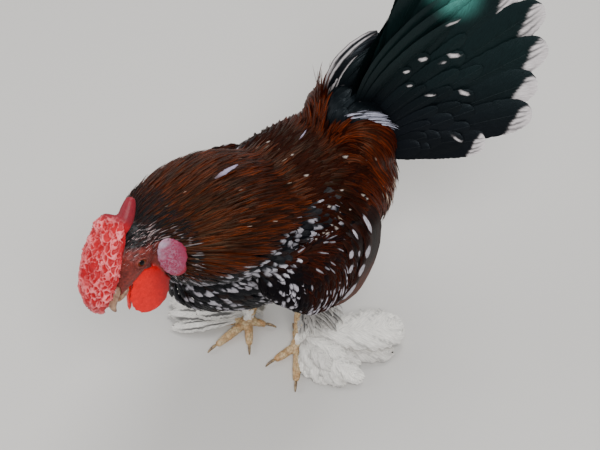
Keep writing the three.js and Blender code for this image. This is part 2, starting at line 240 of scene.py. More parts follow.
def total_round(values, edges):
    """The sum of the values at each point's neighbours."""
    total = np.zeros_like(values)
    np.add.at(total, edges[:, 0], values[edges[:, 1]])
    np.add.at(total, edges[:, 1], values[edges[:, 0]])
    return total


def relaxed(mesh, share, times):
    """Smooths the mesh's points, each by its own share."""
    edges = as_array(mesh, "edges", "vertices", 2).astype(int)
    points = as_array(mesh)
    count = np.bincount(edges.ravel(), minlength=len(points))[:, None]
    for _ in range(times):
        points += (total_round(points, edges) / count - points) * share[:, None]
    mesh.vertices.foreach_set("co", points.ravel())
    mesh.update()


node_names = sorted(FLESH)
cad_points, cad_faces, cad_owner = [], [], []
for number, name in enumerate(node_names):
    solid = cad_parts[name].data
    first = len(cad_points)
    cad_points += [Vector(v) for v in to_bird(as_array(solid))]
    cad_faces += [[first + i for i in face.vertices] for face in solid.polygons]
    cad_owner += [number] * len(solid.polygons)
cad_surface = BVHTree.FromPolygons(cad_points, cad_faces)


def owners(places):
    """Which solid each place lies nearest to, as its number in node_names."""
    return np.array([cad_owner[cad_surface.find_nearest(Vector(p))[2]] for p in places])


def belongs(owner, *parts):
    """True where the owner is one of these parts, on either side."""
    wanted = [i for i, name in enumerate(node_names) if name.startswith(parts)]
    return np.isin(owner, wanted)


# Under the feathers the mesh may be coarse, but not close to the bare parts.
skin_mesh = fused(FLESH + ["eye_left", "eye_right"], SKIN_GRAIN)
owner = owners(to_bird(as_array(skin_mesh)))
fine = belongs(owner, *BARE)
pairs = as_array(skin_mesh, "edges", "vertices", 2).astype(int)
for _ in range(FINE_RINGS):
    fine[pairs[fine[pairs].any(axis=1)].ravel()] = True
skin = bpy.data.objects.new("skin", skin_mesh)
bpy.context.scene.collection.objects.link(skin)
coat_group = skin.vertex_groups.new(name="coat")
coat_group.add([int(i) for i in np.flatnonzero(~fine)], 1, "REPLACE")
thin = skin.modifiers.new("thin", "DECIMATE")
thin.ratio = KEPT_FACES
thin.vertex_group = "coat"
skin_mesh = applied(skin)
owner = owners(to_bird(as_array(skin_mesh)))


def made_finer(mesh, chosen):
    """Splits the faces between the chosen points."""
    shape = bmesh.new()
    shape.from_mesh(mesh)
    shape.verts.ensure_lookup_table()
    edges = [e for e in shape.edges if all(chosen[v.index] for v in e.verts)]
    bmesh.ops.subdivide_edges(shape, edges=edges, cuts=1, use_grid_fill=True)
    shape.to_mesh(mesh)
    shape.free()


def in_head(places):
    """Places of the bird's frame as places of the head's frame."""
    return places @ np.array(to_head.to_3x3()).T + np.array(to_head.translation)


def to_eye(places, side):
    """Each place's distance from the eye's axis, its height along it, and its step from it."""
    mirror = np.array([1, side, 1])
    away = in_head(places) * mirror - np.array(EYE_MIDDLE)
    axis = np.array(EYE_AXIS)
    height = away @ axis
    flat = away - height[:, None] * axis
    return np.linalg.norm(flat, axis=1), height, flat


# The bare parts need a finer mesh for their folds, and the lids the finest.
LIDS_REACH, LIDS_DEPTH = 9, -2
made_finer(skin_mesh, belongs(owner, *BARE))
places = to_bird(as_array(skin_mesh))
near_eye = np.zeros(len(places), bool)
for side in SIDES.values():
    reach, height, _ = to_eye(places, side)
    near_eye |= (reach < LIDS_REACH) & (height > LIDS_DEPTH)
made_finer(skin_mesh, near_eye)
points = as_array(skin_mesh)
owner = owners(to_bird(points))
skin_edges = as_array(skin_mesh, "edges", "vertices", 2).astype(int)
skin_valence = np.bincount(skin_edges.ravel(), minlength=len(points))


def blended(values, times):
    """Each point's value, spread over its neighbours."""
    values = np.array(values, float)
    for _ in range(times):
        values = 0.5 * values + 0.5 * total_round(values, skin_edges) / skin_valence
    return values


# How much each point belongs to each bare part and to the coat, with soft borders.
BARE_BLUR, COAT_BLUR = 3, 6
comb_share, lobe_share, wattle_share, scale_share = (
    blended(belongs(owner, *parts), BARE_BLUR)
    for parts in (["comb"], ["ear_lobe"], ["wattle"], ["shank", "foot"])
)
head_points = in_head(to_bird(points))


def bare_throat(q):
    """True for places of the head's frame on the bare skin under the jaw."""
    return (q[:, 0] < 24) & (q[:, 2] < -2) & (np.linalg.norm(q, axis=1) < 38)


def nape_share(q):
    """1 where the head wears the nape's black feathers and 0 on the bare face."""
    return smooth_step(17, 23, q[:, 0] + 0.75 * q[:, 2]) * (q[:, 2] > -9)


throat = bare_throat(head_points) & belongs(owner, "neck", "head")
coat_share = blended(~belongs(owner, *BARE) & ~throat, COAT_BLUR)
relaxed(skin_mesh, 0.25 + 0.45 * coat_share, SKIN_SMOOTHING)
points = as_array(skin_mesh)
places = to_bird(points)
normals = as_array(skin_mesh, "vertex_normals", "vector")
head_points = in_head(places)


def tone(red, green, blue):
    """A colour in linear light from its everyday 0 to 255 numbers."""
    c = np.array([red, green, blue]) / 255
    return np.where(c < 0.04045, c / 12.92, ((c + 0.055) / 1.055) ** 2.4)


def mixed(a, b, share):
    """Colour a, with this share of b."""
    share = np.clip(np.asarray(share, float), 0, 1)[..., None]
    return a * (1 - share) + b * share


def cloud(places, size, seed=0):
    """Smooth noise from -1 to 1, with patches of about this size."""
    shift = Vector((seed * 17.3, seed * 5.1, seed * 9.7))
    return np.array([noise.noise(Vector(p) / size + shift) for p in places])


SPONGE_SEED = 12  # keeps the pattern the same at every run


def walls(places, size, bend, uneven=0.0):
    """1 on the walls between the cells of a sponge, of uneven width, and 0 inside them."""
    noise.seed_set(SPONGE_SEED)
    found = np.empty(len(places))
    for i, p in enumerate(places):
        q = Vector(p)
        q = q + noise.noise_vector(q / (size * 1.1)) * bend
        near = noise.voronoi(q / size)[0]
        found[i] = near[1] - near[0] - uneven * noise.noise(q / (size * 1.6) + Vector((9, 4, 7)))
    return 1 - smooth_step(0.02, 0.21, found)


# The ground colour of each tract of the coat, which skin and feathers share.
MAHOGANY = tone(74, 26, 10)
MAHOGANY_DARK = tone(26, 9, 5)
CHOCOLATE = tone(27, 11, 8)
SPANGLE_BLACK = tone(8, 9, 14)
TAIL_BLACK = tone(6, 7, 11)
NAPE_BLACK = tone(9, 7, 8)
DOWN_GREY = tone(120, 114, 112)
BOOT_WHITE = tone(240, 236, 228)
GROUND = {
    "neck": MAHOGANY_DARK,
    "trunk": MAHOGANY_DARK,
    "wing": CHOCOLATE,
    "tail_coverts": TAIL_BLACK,
    "thigh": DOWN_GREY,
}

# The body's own line, from the breast to the stern.
BODY_LINE = np.array([
    (-207, -23, 240), (-155, -7, 246), (-112, 3, 222), (-67, 1, 196),
    (0, 0, 180), (70, 0, 198), (138, -6, 240), (193, -19, 290),
])
# How far down each side the hackle comes, by the place along the body (mm, degrees round it).
HACKLE_HEM = np.array([
    (-150, 125), (-132, 108), (-100, 87), (-72, 75), (-33, 59), (5, 53), (17, 40), (24, 0),
])


def round_body(places):
    """Each place's turn round the body's line: 0 on the back, 180 below, and negative on the left."""
    y = np.interp(places[..., 0], BODY_LINE[:, 0], BODY_LINE[:, 1])
    z = np.interp(places[..., 0], BODY_LINE[:, 0], BODY_LINE[:, 2])
    return np.degrees(np.arctan2(places[..., 1] - y, places[..., 2] - z))


def below_hem(places):
    """How far a place is below the hackle's hem, in degrees."""
    return np.abs(round_body(places)) - np.interp(places[..., 0], *HACKLE_HEM.T)


# The wing is spangled black ahead of this place, and chocolate behind it.
WING_FRONT = -44


def ground_colour(places, owner):
    """The colour of the skin under the coat."""
    colour = np.tile(MAHOGANY_DARK, (len(places), 1))
    for part, shade in GROUND.items():
        colour[belongs(owner, part)] = shade
    spangled = belongs(owner, "trunk", "neck") & (below_hem(places) > 0) & (places[:, 0] < 15)
    colour[spangled | (belongs(owner, "wing") & (places[:, 0] < WING_FRONT))] = SPANGLE_BLACK
    return colour


COMB_RIDGE, COMB_PIT, COMB_DUSTY = tone(244, 128, 132), tone(178, 2, 22), tone(150, 96, 96)
LEADER_MAUVE = tone(128, 24, 38)
FACE_MAUVE, FACE_DEEP = tone(132, 50, 42), tone(72, 22, 18)
LOBE_WHITE, LOBE_MAUVE, LOBE_RIM = tone(172, 150, 168), tone(144, 48, 78), tone(150, 18, 38)
LOBE_PIT = tone(70, 56, 60)
WATTLE_NEAR, WATTLE_SHADED = tone(220, 2, 2), tone(118, 10, 16)
SHANK_PALE, SHANK_ORANGE, SHANK_SEAM = tone(206, 182, 142), tone(186, 140, 92), tone(120, 84, 50)
LID_SHADE, LID_PALE = tone(84, 40, 34), tone(150, 80, 68)


def only_on(chosen, pattern, places, *settings):
    """A pattern's values at the chosen points, and 0 at the others."""
    found = np.zeros(len(places))
    found[chosen] = pattern(places[chosen], *settings)
    return found


# How far each point of the skin is raised, in millimetres, and its colour.
lift = np.zeros(len(points))
tint = ground_colour(places, owner)

# The comb: a cushion of wormy ridges round red pits, with a smooth spike behind. The ridges' pale pink,
# palest on the knobs, is partly their own colour and partly painted highlight.
on_comb = np.flatnonzero(comb_share > 0.01)
ridge = only_on(on_comb, walls, head_points * [0.8, 1.1, 1], 5.6, 4.6, 0.2)
middle = np.interp(head_points[:, 0], [-47, -32, -4, 34], [12, 20, 27, 30])
top = np.where(head_points[:, 1] < 0, 5 * smooth_step(-14, 0, head_points[:, 0]) - 1, -1)
ridge *= smooth_step(-2, 2.5, head_points[:, 2] - middle - top)
knob = only_on(on_comb, cloud, head_points, 9.0, 1)
spike_share = smooth_step(22, 32, head_points[:, 0]) * comb_share
rough_comb = comb_share * (1 - 0.93 * spike_share)
lift += rough_comb * (2.2 * ridge - 1.4 + 1.2 * knob)
# Painted highlight, in part: the ridges are paler pink, palest on the raised knobs.
comb_colour = mixed(COMB_PIT, COMB_RIDGE, ridge**1.3 * (0.8 + 0.7 * knob))
comb_colour = mixed(comb_colour, COMB_DUSTY, 0.6 * smooth_step(-42, -54, head_points[:, 0]))
comb_colour = mixed(comb_colour, LEADER_MAUVE, spike_share)

# The face: mauve skin with small warts, black behind under the nape's feathers.
on_face = np.flatnonzero((coat_share < 0.98) & (scale_share < 0.02))
grain = only_on(on_face, cloud, head_points, 1.7, 2)
broad = only_on(on_face, cloud, head_points, 6.0, 3)
crease = only_on(on_face, cloud, head_points * [1.8, 1.8, 0.6], 2.6, 4)
face_share = np.clip(1 - comb_share - lobe_share - wattle_share - scale_share - coat_share, 0, 1)
face_colour = mixed(FACE_MAUVE, FACE_DEEP, 0.45 - 0.5 * grain - 0.3 * broad)
lift += face_share * (0.35 * grain + 0.3 * broad)
face_colour = mixed(face_colour, NAPE_BLACK, nape_share(head_points) * belongs(owner, "head"))

# The lids: an almond opening over the ball, a thick rim, a furrow and rings of folds.
# Painted shade darkens the edge of the opening and the troughs of the folds, and a paler band lies on
# the rim.
FOLD_STEP, FOLDS_REACH = 1.6, 14
lid_move = np.zeros((len(points), 3))
for side in SIDES.values():
    reach, height, flat = to_eye(places, side)
    across = np.abs(flat[:, 0] + flat[:, 2]) / np.maximum(reach, 1e-6) / math.sqrt(2)
    almond = reach * (1 + 0.5 * across**2)
    wave = np.sin(almond * 2 * np.pi / FOLD_STEP)
    turn = np.array(head_frame.to_3x3())
    eye_way = np.array(EYE_AXIS) * np.array([1, side, 1]) @ turn.T
    near_lids = (height > 0) & (reach < FOLDS_REACH)
    ball = np.sqrt(np.maximum(EYE_RADIUS**2 - reach**2, 0))
    rim = 1.1 * np.exp(-(((almond - EYE_OPENING - 0.7) / 0.7) ** 2))
    furrow = -0.5 * np.exp(-(((almond - EYE_OPENING - 2.3) / 0.5) ** 2))
    rings = 0.34 * wave * smooth_step(12, 8, almond)
    rings *= smooth_step(EYE_OPENING + 1.8, EYE_OPENING + 3, almond)
    level = np.where(almond < EYE_OPENING, ball - 1.0, height)
    weight = np.where(almond < EYE_OPENING, smooth_step(EYE_OPENING, EYE_OPENING - 0.7, almond), 0)
    change = (level - height) * weight + (rim + furrow + rings) * (almond >= EYE_OPENING - 0.5)
    lid_move += np.where(near_lids, change, 0)[:, None] * eye_way * MM
    # Painted shade along the edge of the lids' opening.
    shade = smooth_step(0.9, 0.1, np.abs(almond - EYE_OPENING - 0.1)) * near_lids
    face_colour = mixed(face_colour, LID_SHADE, 0.8 * shade)
    pale = smooth_step(1.0, 0.2, np.abs(almond - EYE_OPENING - 1.3)) * near_lids
    face_colour = mixed(face_colour, LID_PALE, 0.35 * pale)
    # Painted shade in the troughs of the folds.
    fold_shade = smooth_step(0.2, 0.9, -wave) * (almond > EYE_OPENING + 2)
    face_colour = mixed(face_colour, FACE_DEEP, 0.6 * fold_shade * smooth_step(14, 9, almond) * near_lids)

# An ear lobe is pitted and whitish above and in front, wrinkled, and mauve to its red rim. Pale lines
# along its wrinkles are painted sheen.
for side_name, side in SIDES.items():
    low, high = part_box("ear_lobe_" + side_name)
    up = (points[:, 2] - low.z) / (high.z - low.z)
    ahead = (high.x - points[:, 0]) / (high.x - low.x)
    here = lobe_share * (np.sign(head_points[:, 1]) == side)
    rim = smooth_step(0.5, 0.85, (1.8 * ahead - 1) ** 2 + (1.8 * up - 1) ** 2 - 0.5 * ahead * up)
    white = smooth_step(1.05, 1.5, up + 0.6 * ahead + 0.25 * broad)
    # Painted sheen: pale lines along the wrinkles.
    wrinkle_sheen = 0.42 * smooth_step(0.25, 0.05, np.abs(crease + 0.2 * broad)) * smooth_step(0.1, 0.6, ahead)
    lobe_colour = mixed(LOBE_MAUVE, LOBE_RIM, rim * 0.8)
    lobe_colour = mixed(lobe_colour, LOBE_WHITE, np.maximum(white, wrinkle_sheen * (1 - rim)))
    lobe_colour = mixed(lobe_colour, LOBE_PIT, white * smooth_step(0.3, 0.6, grain))
    face_colour = mixed(face_colour, lobe_colour, here)
    lift += here * (0.3 * grain - 0.3 * smooth_step(0.25, 0, np.abs(crease)) - 0.2)

# The wattles: smooth red flaps, with painted shade darkening them towards the back.
low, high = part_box("wattle_left")
wattle_shade = smooth_step(low.x + 0.35 * (high.x - low.x), high.x, points[:, 0])
wattle_colour = mixed(WATTLE_NEAR, WATTLE_SHADED, 0.85 * wattle_shade + 0.12 * grain)
lift += wattle_share * 0.18 * broad

# Shanks and toes carry rows of scutes, dusty yellow with orange between.
on_scales = np.flatnonzero(scale_share > 0.01)
scute = only_on(on_scales, walls, places, 3.6, 0.6)
dust = only_on(on_scales, cloud, places, 7.0, 4)
lift += scale_share * (0.3 - 0.55 * scute)
scale_colour = mixed(mixed(SHANK_PALE, SHANK_ORANGE, 0.25 + 0.9 * dust), SHANK_SEAM, 0.55 * scute)

tint = mixed(tint, face_colour, np.clip(1 - coat_share, 0, 1))
tint = mixed(tint, comb_colour, comb_share)
tint = mixed(tint, wattle_colour, wattle_share)
tint = mixed(tint, scale_colour, scale_share)
lift -= COAT_DEPTH * smooth_step(0.3, 1, coat_share)
points += normals * lift[:, None] * MM + lid_move
skin_mesh.vertices.foreach_set("co", points.ravel())


def tinted(mesh, colours):
    """Gives each point of the mesh its colour."""
    solid = np.column_stack([colours, np.ones(len(colours))])
    mesh.color_attributes.new("tint", "FLOAT_COLOR", "POINT").data.foreach_set("color", solid.ravel())


tinted(skin_mesh, tint)

skin_material, shader, add, links = new_material("bare_skin")
place = add("ShaderNodeTexCoord").outputs["Object"]
colour = add("ShaderNodeVertexColor", layer_name="tint").outputs["Color"]
pores = add("ShaderNodeTexNoise", {"Vector": place, "Scale": 1100.0, "Detail": 3.0}).outputs["Fac"]
flush = add("ShaderNodeTexNoise", {"Vector": place, "Scale": 260.0, "Detail": 2.0}).outputs["Fac"]
grains = add("ShaderNodeMath", {0: pores, 1: flush}, operation="ADD").outputs[0]
worn = add("ShaderNodeMapRange", {
    "Value": grains, "From Min": 0.6, "From Max": 1.4, "To Min": 0.78, "To Max": 1.2,
})
shaded = add("ShaderNodeVectorMath", {0: colour, "Scale": worn.outputs[0]}, operation="SCALE")
bump = add("ShaderNodeBump", {"Height": pores, "Strength": 0.35, "Distance": 0.0004})
gloss = add("ShaderNodeMapRange", {"Value": pores, "To Min": 0.34, "To Max": 0.62}).outputs[0]
links.new(shaded.outputs[0], shader.inputs["Base Color"])
links.new(bump.outputs[0], shader.inputs["Normal"])
links.new(gloss, shader.inputs["Roughness"])
set_finish(shader, {
    "Specular IOR Level": 0.3,
    "Subsurface Weight": 0.12, "Subsurface Radius": (0.004, 0.0012, 0.0008), "Subsurface Scale": 1.0,
})

skin = place_on_scene("skin", skin_mesh, skin_material)
skin_mesh.shade_smooth()
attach(skin, "root")
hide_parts(*FLESH)


# --- The nape: short black feathers streaked with white ----------------------------
# The first tract of the coat, behind the comb and down to the neck. Like every tract,
# it is one mesh of thin closed vanes, each rooted on the skin and lying on the next.

# The form is a smoother body without the bare parts, and the feathers lie on it.
FORM_GRAIN, FORM_SMOOTHING = 2.8, 10
FORM = [name for name in FLESH if not name.startswith(("comb", "ear_lobe", "wattle", "foot"))]
form_mesh = fused(FORM, FORM_GRAIN)
relaxed(form_mesh, np.full(len(form_mesh.vertices), 0.5), FORM_SMOOTHING)
form_mesh.calc_loop_triangles()
form_points = to_bird(as_array(form_mesh))
form_corners = as_array(form_mesh, "loop_triangles", "vertices").astype(int)
form_normal = as_array(form_mesh, "vertex_normals", "vector")[form_corners].mean(axis=1)
form_normal /= np.linalg.norm(form_normal, axis=1)[:, None]
form_normal = [Vector(n) for n in form_normal]
form = BVHTree.FromPolygons([Vector(p) for p in form_points], form_corners.tolist())
form_a, form_b, form_c = (form_points[form_corners[:, k]] for k in range(3))
form_area = np.linalg.norm(np.cross(form_b - form_a, form_c - form_a), axis=1)
form_middle = (form_a + form_b + form_c) / 3
form_owner = owners(form_middle)


def sown(wanted, spacing, seed, draws=26000):
    """Roots spread over the form where wanted says so, no closer together than spacing."""
    rng = np.random.default_rng(seed)
    chosen = np.flatnonzero(wanted(form_middle, form_owner))
    weight = form_area[chosen] / form_area[chosen].sum()
    face = chosen[rng.choice(len(chosen), draws, p=weight)]
    u, v = rng.random((2, draws))
    over = u + v > 1
    u[over], v[over] = 1 - u[over], 1 - v[over]
    drawn = form_a[face] + u[:, None] * (form_b - form_a)[face] + v[:, None] * (form_c - form_a)[face]
    gap = spacing(drawn) if callable(spacing) else np.full(draws, float(spacing))
    kept, grid = [], {}
    cells = np.floor(drawn / gap.min()).astype(int).tolist()
    reach = range(-int(np.ceil(gap.max() / gap.min())), int(np.ceil(gap.max() / gap.min())) + 1)
    steps = [(i, j, k) for i in reach for j in reach for k in reach]
    limits, drawn_list = (gap**2).tolist(), drawn.tolist()
    for n, (x, y, z) in enumerate(cells):
        px, py, pz = drawn_list[n]
        if all(
            (qx - px) ** 2 + (qy - py) ** 2 + (qz - pz) ** 2 > limits[n]
            for i, j, k in steps
            for qx, qy, qz in grid.get((x + i, y + j, z + k), ())
        ):
            kept.append(n)
            grid.setdefault((x, y, z), []).append((px, py, pz))
    return drawn[kept]


def laid(roots, lie, length, depth, rise, rows=9, hold=0.5, stand=0.0):
    """The middle line of each feather, from its root over the form along the coat's lie.

    It starts depth below the form and ends rise above it. hold keeps it straight, and
    stand is how far it stays off the form where the form falls away."""
    count = len(roots)
    length, depth, rise, stand = (np.broadcast_to(x, count) for x in (length, depth, rise, stand))
    lines, ups = np.empty((2, count, rows, 3))
    for i, root in enumerate(roots):
        at, _, face, _ = form.find_nearest(Vector(root))
        up, way, step = form_normal[face], None, length[i] / (rows - 1)
        for j in range(rows):
            s = j / (rows - 1)
            wish = lie(at)
            wish = (wish - up * wish.dot(up)).normalized()
            way = wish if way is None else way * hold + wish * (1 - hold)
            way = (way - up * way.dot(up)).normalized()
            lines[i, j] = at + up * (rise[i] * s**1.3 - depth[i] * (1 - s) ** 1.5)
            ups[i, j] = up
            ahead = at + way * step
            near, _, face, _ = form.find_nearest(ahead)
            over = max((ahead - near).dot(form_normal[face]), 0)
            at = near + form_normal[face] * (over * stand[i])
            up = (up + form_normal[face] * 2).normalized()
    return lines, ups


BODY_RADIUS = 60


def unwrapped(places):
    """Each place's spot on an unrolled skin, from 0 to 1: along the body and round it."""
    flat = np.column_stack([places[:, 0], np.radians(round_body(places)) * BODY_RADIUS])
    low, high = flat.min(0), flat.max(0)
    return 0.01 + 0.97 * (flat - low) / np.maximum(high - low, 1e-6)


def in_row(shares):
    """Spots in one row over a map, at these shares of its width."""
    return np.column_stack([shares, np.full(len(shares), 0.5)])


PATCH = 0.003  # a feather's share of its piece's map
SHARP_EDGE = math.radians(75)


def vanes(name, lines, ups, half, paint, material, slot, columns=3, arch=0.25, thick=0.35,
          ragged=0.12, seed=1, spots=None, patch=(PATCH, PATCH), replaces=(), cupped=0.0, frayed=0.0):
    """One mesh of thin closed vanes, a feather on each middle line.

    half is each feather's half width at each row, and paint gives its colours from the
    share of the way to its tip, the share of the way to its edge, four dice and the place.
    A cupped feather's edges bend down towards its tip, and a frayed one ends jagged.
    spots and patch say where each feather lies on the piece's map, and how large."""
    rng = np.random.default_rng(seed)
    count, rows = lines.shape[:2]
    along = np.linspace(0, 1, rows)
    across = np.linspace(-1, 1, columns)
    forward = np.gradient(lines, axis=1)
    forward /= np.linalg.norm(forward, axis=2)[..., None] + 1e-12
    sideways = np.cross(forward, ups)
    sideways /= np.linalg.norm(sideways, axis=2)[..., None] + 1e-12
    upward = np.cross(sideways, forward)
    half = np.broadcast_to(half, (count, rows))
    notch = 1 - ragged * rng.random((count, rows, 2)) * smooth_step(0.05, 0.4, along)[:, None]
    reach = half[:, :, None] * np.where(across < 0, notch[..., :1], notch[..., 1:]) * across
    bow = half[:, :, None] * (arch + cupped * along[:, None] ** 2) * (1 - across**2)
    bow -= half[:, :, None] * cupped * along[:, None] ** 2
    top = lines[:, :, None] + sideways[:, :, None] * reach[..., None]
    top = top + upward[:, :, None] * bow[..., None]
    if frayed:
        jag = frayed * (rng.random((count, 1, columns)) - 0.6) * smooth_step(0.6, 1, along)[:, None]
        top = top + forward[:, :, None] * jag[..., None]
    body = np.minimum(thick, half * 0.5) * (1 - 0.6 * along)
    under = lines + upward * (bow[..., columns // 2] - body)[..., None]
    places = np.concatenate([top, under[:, :, None]], axis=2)
    ring = columns + 1
    number = np.arange(count * rows * ring).reshape(count, rows, ring)
    turned = np.roll(number, -1, axis=2)
    quads = np.stack([number[:, :-1], turned[:, :-1], turned[:, 1:], number[:, 1:]], axis=-1)
    ends = np.stack([number[:, 0, ::-1], number[:, -1]], axis=1)
    corners = np.concatenate([quads.reshape(-1), ends.reshape(-1)])
    sizes = np.concatenate([np.full(quads.size // 4, 4), np.full(ends.size // ring, ring)])
    mesh = bpy.data.meshes.new(name)
    mesh.vertices.add(number.size)
    mesh.vertices.foreach_set("co", to_row(places).ravel())
    mesh.loops.add(len(corners))
    mesh.loops.foreach_set("vertex_index", corners)
    mesh.polygons.add(len(sizes))
    mesh.polygons.foreach_set("loop_start", np.concatenate([[0], np.cumsum(sizes)[:-1]]))
    mesh.update(calc_edges=True)
    columns_at = np.append(across, 0)
    dice = rng.random((count, 4))
    s = np.broadcast_to(along[None, :, None], number.shape)
    v = np.broadcast_to(columns_at[None, None, :], number.shape)
    colour = np.broadcast_to(paint(s, v, dice[:, None, None, :], places), number.shape + (3,))
    tinted(mesh, colour.reshape(-1, 3))
    steps = np.linalg.norm(np.diff(lines, axis=1), axis=2).cumsum(axis=1)
    far = np.concatenate([np.zeros((count, 1)), steps], axis=1)
    across_mm = np.concatenate([reach, np.zeros((count, rows, 1))], axis=2)
    elsewhere = np.floor(dice[:, :1, None] * 97) * 31  # no two feathers share their barbs
    along_mm = np.broadcast_to(far[:, :, None], number.shape) + elsewhere
    vane_map = np.stack([across_mm, along_mm], axis=-1).reshape(-1, 2)
    spots = unwrapped(lines[:, 0]) if spots is None else spots
    bake_map = spots[:, None, None] + np.stack([v * 0.5, s - 0.5], axis=-1) * np.array(patch)
    for title, found in (("OFBake", bake_map.reshape(-1, 2)), ("vane", vane_map)):
        mesh.uv_layers.new(name=title, do_init=False).uv.foreach_set("vector", found[corners].ravel())
    mesh.shade_smooth()
    mesh.set_sharp_from_angle(angle=SHARP_EDGE)
    piece = place_on_scene(name, mesh, material)
    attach(piece, "root")
    if replaces:
        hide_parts(*replaces)


def plumage(name, sweep=0.7, roughness=0.5, gloss=0.4, contrast=0.6, sheen=0.0, tint=(1, 1, 1)):
    """The vane of a feather: fine barbs that leave the shaft at a slant, and the shaft itself.

    sweep is 0 for barbs square to the shaft and 1 for barbs along it."""
    material, shader, add, links = new_material(name)

    def maths(operation, *values):
        return add("ShaderNodeMath", enumerate(values), operation=operation).outputs[0]

    vane = add("ShaderNodeUVMap", uv_map="vane").outputs[0]
    split = add("ShaderNodeSeparateXYZ", {0: vane}).outputs
    out = maths("ABSOLUTE", split["X"])
    lean = maths("MULTIPLY", split["Y"], 1 - sweep)
    slope = maths("MULTIPLY", out, 0.3 + sweep)
    barb = maths("SUBTRACT", lean, slope)
    lengthwise = maths("MULTIPLY", split["Y"], 0.09)
    where = add("ShaderNodeCombineXYZ", {"X": barb, "Y": lengthwise}).outputs[0]
    strands = add("ShaderNodeTexNoise", {"Vector": where, "Scale": 1.5, "Detail": 3.0, "Roughness": 0.6})
    strand = strands.outputs["Fac"]
    shade = add("ShaderNodeMapRange", {
        "Value": strand, "From Min": 0.28, "From Max": 0.72,
        "To Min": 1 - contrast, "To Max": 1 + contrast,
    }).outputs[0]
    colour = add("ShaderNodeVertexColor", layer_name="tint").outputs["Color"]
    shaded = add("ShaderNodeVectorMath", {0: colour, "Scale": shade}, operation="SCALE").outputs[0]
    shaft = add("ShaderNodeMapRange", {
        "Value": out, "From Min": 0.0, "From Max": 0.45, "To Min": 1.0, "To Max": 0.0,
    }).outputs[0]
    height = maths("ADD", shaft, strand)
    bump = add("ShaderNodeBump", {"Height": height, "Strength": 0.6, "Distance": 0.0004}).outputs[0]
    links.new(shaded, shader.inputs["Base Color"])
    links.new(bump, shader.inputs["Normal"])
    set_finish(shader, {
        "Roughness": roughness, "Sheen Weight": sheen,
        "Specular IOR Level": gloss, "Specular Tint": (*tint, 1),
    })
    return material


def spear(rows, widest=0.35, tip=0.06):
    """The half width of a long pointed feather at each row, as a share."""
    s = np.linspace(0, 1, rows)
    return np.where(s < widest, 0.25 + 0.75 * np.sin(s / widest * np.pi / 2),
                    tip + (1 - tip) * np.cos((s - widest) / (1 - widest) * np.pi / 2) ** 0.8)


def spoon(rows, widest=0.6, tip=0.28, root=0.2):
    """The half width of a round-ended feather at each row, as a share."""
    s = np.linspace(0, 1, rows)
    return np.where(s < widest, root + (1 - root) * np.sin(s / widest * np.pi / 2),
                    tip + (1 - tip) * np.sqrt(np.maximum(1 - ((s - widest) / (1 - widest)) ** 2, 0)))


def varied(rng, count, low, high):
    """One even draw between low and high for each feather."""
    return low + (high - low) * rng.random(count)


def tract(name, wanted, spacing, seed, lie, outline, paint, material, slot, length, depth, rise,
          half, step=1, draws=26000, hold=0.5, stand=0.0, **look):
    """One tract of the coat: feathers sown where wanted says so and laid along the lie.

    length, rise and half are each the limits of a draw, and may end with a function of the
    roots that multiplies it. step keeps the seeds of the two sides apart."""
    roots = sown(wanted, spacing, seed, draws)
    rng = np.random.default_rng(seed + step)

    def drawn(low, high, times=None):
        share = varied(rng, len(roots), low, high)
        return share if times is None else times(roots) * share

    length, rise = drawn(*length), drawn(*rise)
    lines, ups = laid(roots, lie, length, depth, rise, rows=len(outline), hold=hold, stand=stand)
    vanes(name, lines, ups, drawn(*half)[:, None] * outline, paint, material, slot,
          seed=seed + 2 * step, **look)


NAPE_WHITE = tone(170, 158, 158)


def hackle_lie(p):
    """The way the coat runs at a place of the neck."""
    aside = min(abs(p.y) / 75, 1)
    return Vector((1, 0.12 * math.copysign(aside, p.y), -0.12 - 0.5 * aside**1.4))


def nape_roots(p, owner):
    q = in_head(p)
    behind = nape_share(q) > 0.3
    return (belongs(owner, "head") & behind) | (
        belongs(owner, "neck") & (p[:, 0] < -127) & ~bare_throat(q) & (below_hem(p) < 6)
    )


def nape_paint(s, v, dice, places):
    near = smooth_step(42, 24, in_head(places)[..., 0])
    streak = (dice[..., 0] < 0.34 * near) * smooth_step(0.6, 0.1, np.abs(v)) * smooth_step(0.15, 0.4, s)
    colour = mixed(NAPE_BLACK, MAHOGANY, (dice[..., 1] < 0.3) * smooth_step(0.5, 1, np.abs(v)) * 0.7)
    return mixed(colour, NAPE_WHITE, streak * (0.4 + 0.5 * dice[..., 2]))


nape_material = plumage("nape_vane", sweep=0.75, roughness=0.55, gloss=0.15, contrast=0.4)
tract("nape", nape_roots, 1.7, 11, hackle_lie, spear(6), nape_paint, nape_material,
      "black_green_feather",
      length=(0.75, 1.2, lambda p: np.interp(in_head(p)[:, 0], [0, 30], [7, 14])),
      depth=1.2, rise=(0.4, 2.4), half=(0.4, 0.9), stand=0.6, draws=18000)


# --- The hackle: long pointed feathers of the neck, down over the shoulders --------
# Each is black-brown along its middle and mahogany to orange-brown at its glossy edges.
# They hang from the neck over the back, the breast and the shoulders of the wings.

HACKLE_EDGE = tone(104, 40, 11)
HACKLE_RED = tone(40, 12, 5)
HACKLE_CORE = tone(9, 4, 3)
SPOT_WHITE = tone(190, 178, 160)


def hackle_roots(p, owner):
    on_neck = belongs(owner, "neck") & (below_hem(p) < 4) & (p[:, 0] > -155)
    shoulders = belongs(owner, "trunk") & (p[:, 0] < 2) & (p[:, 0] > -87) & (below_hem(p) < 2)
    return on_neck | shoulders


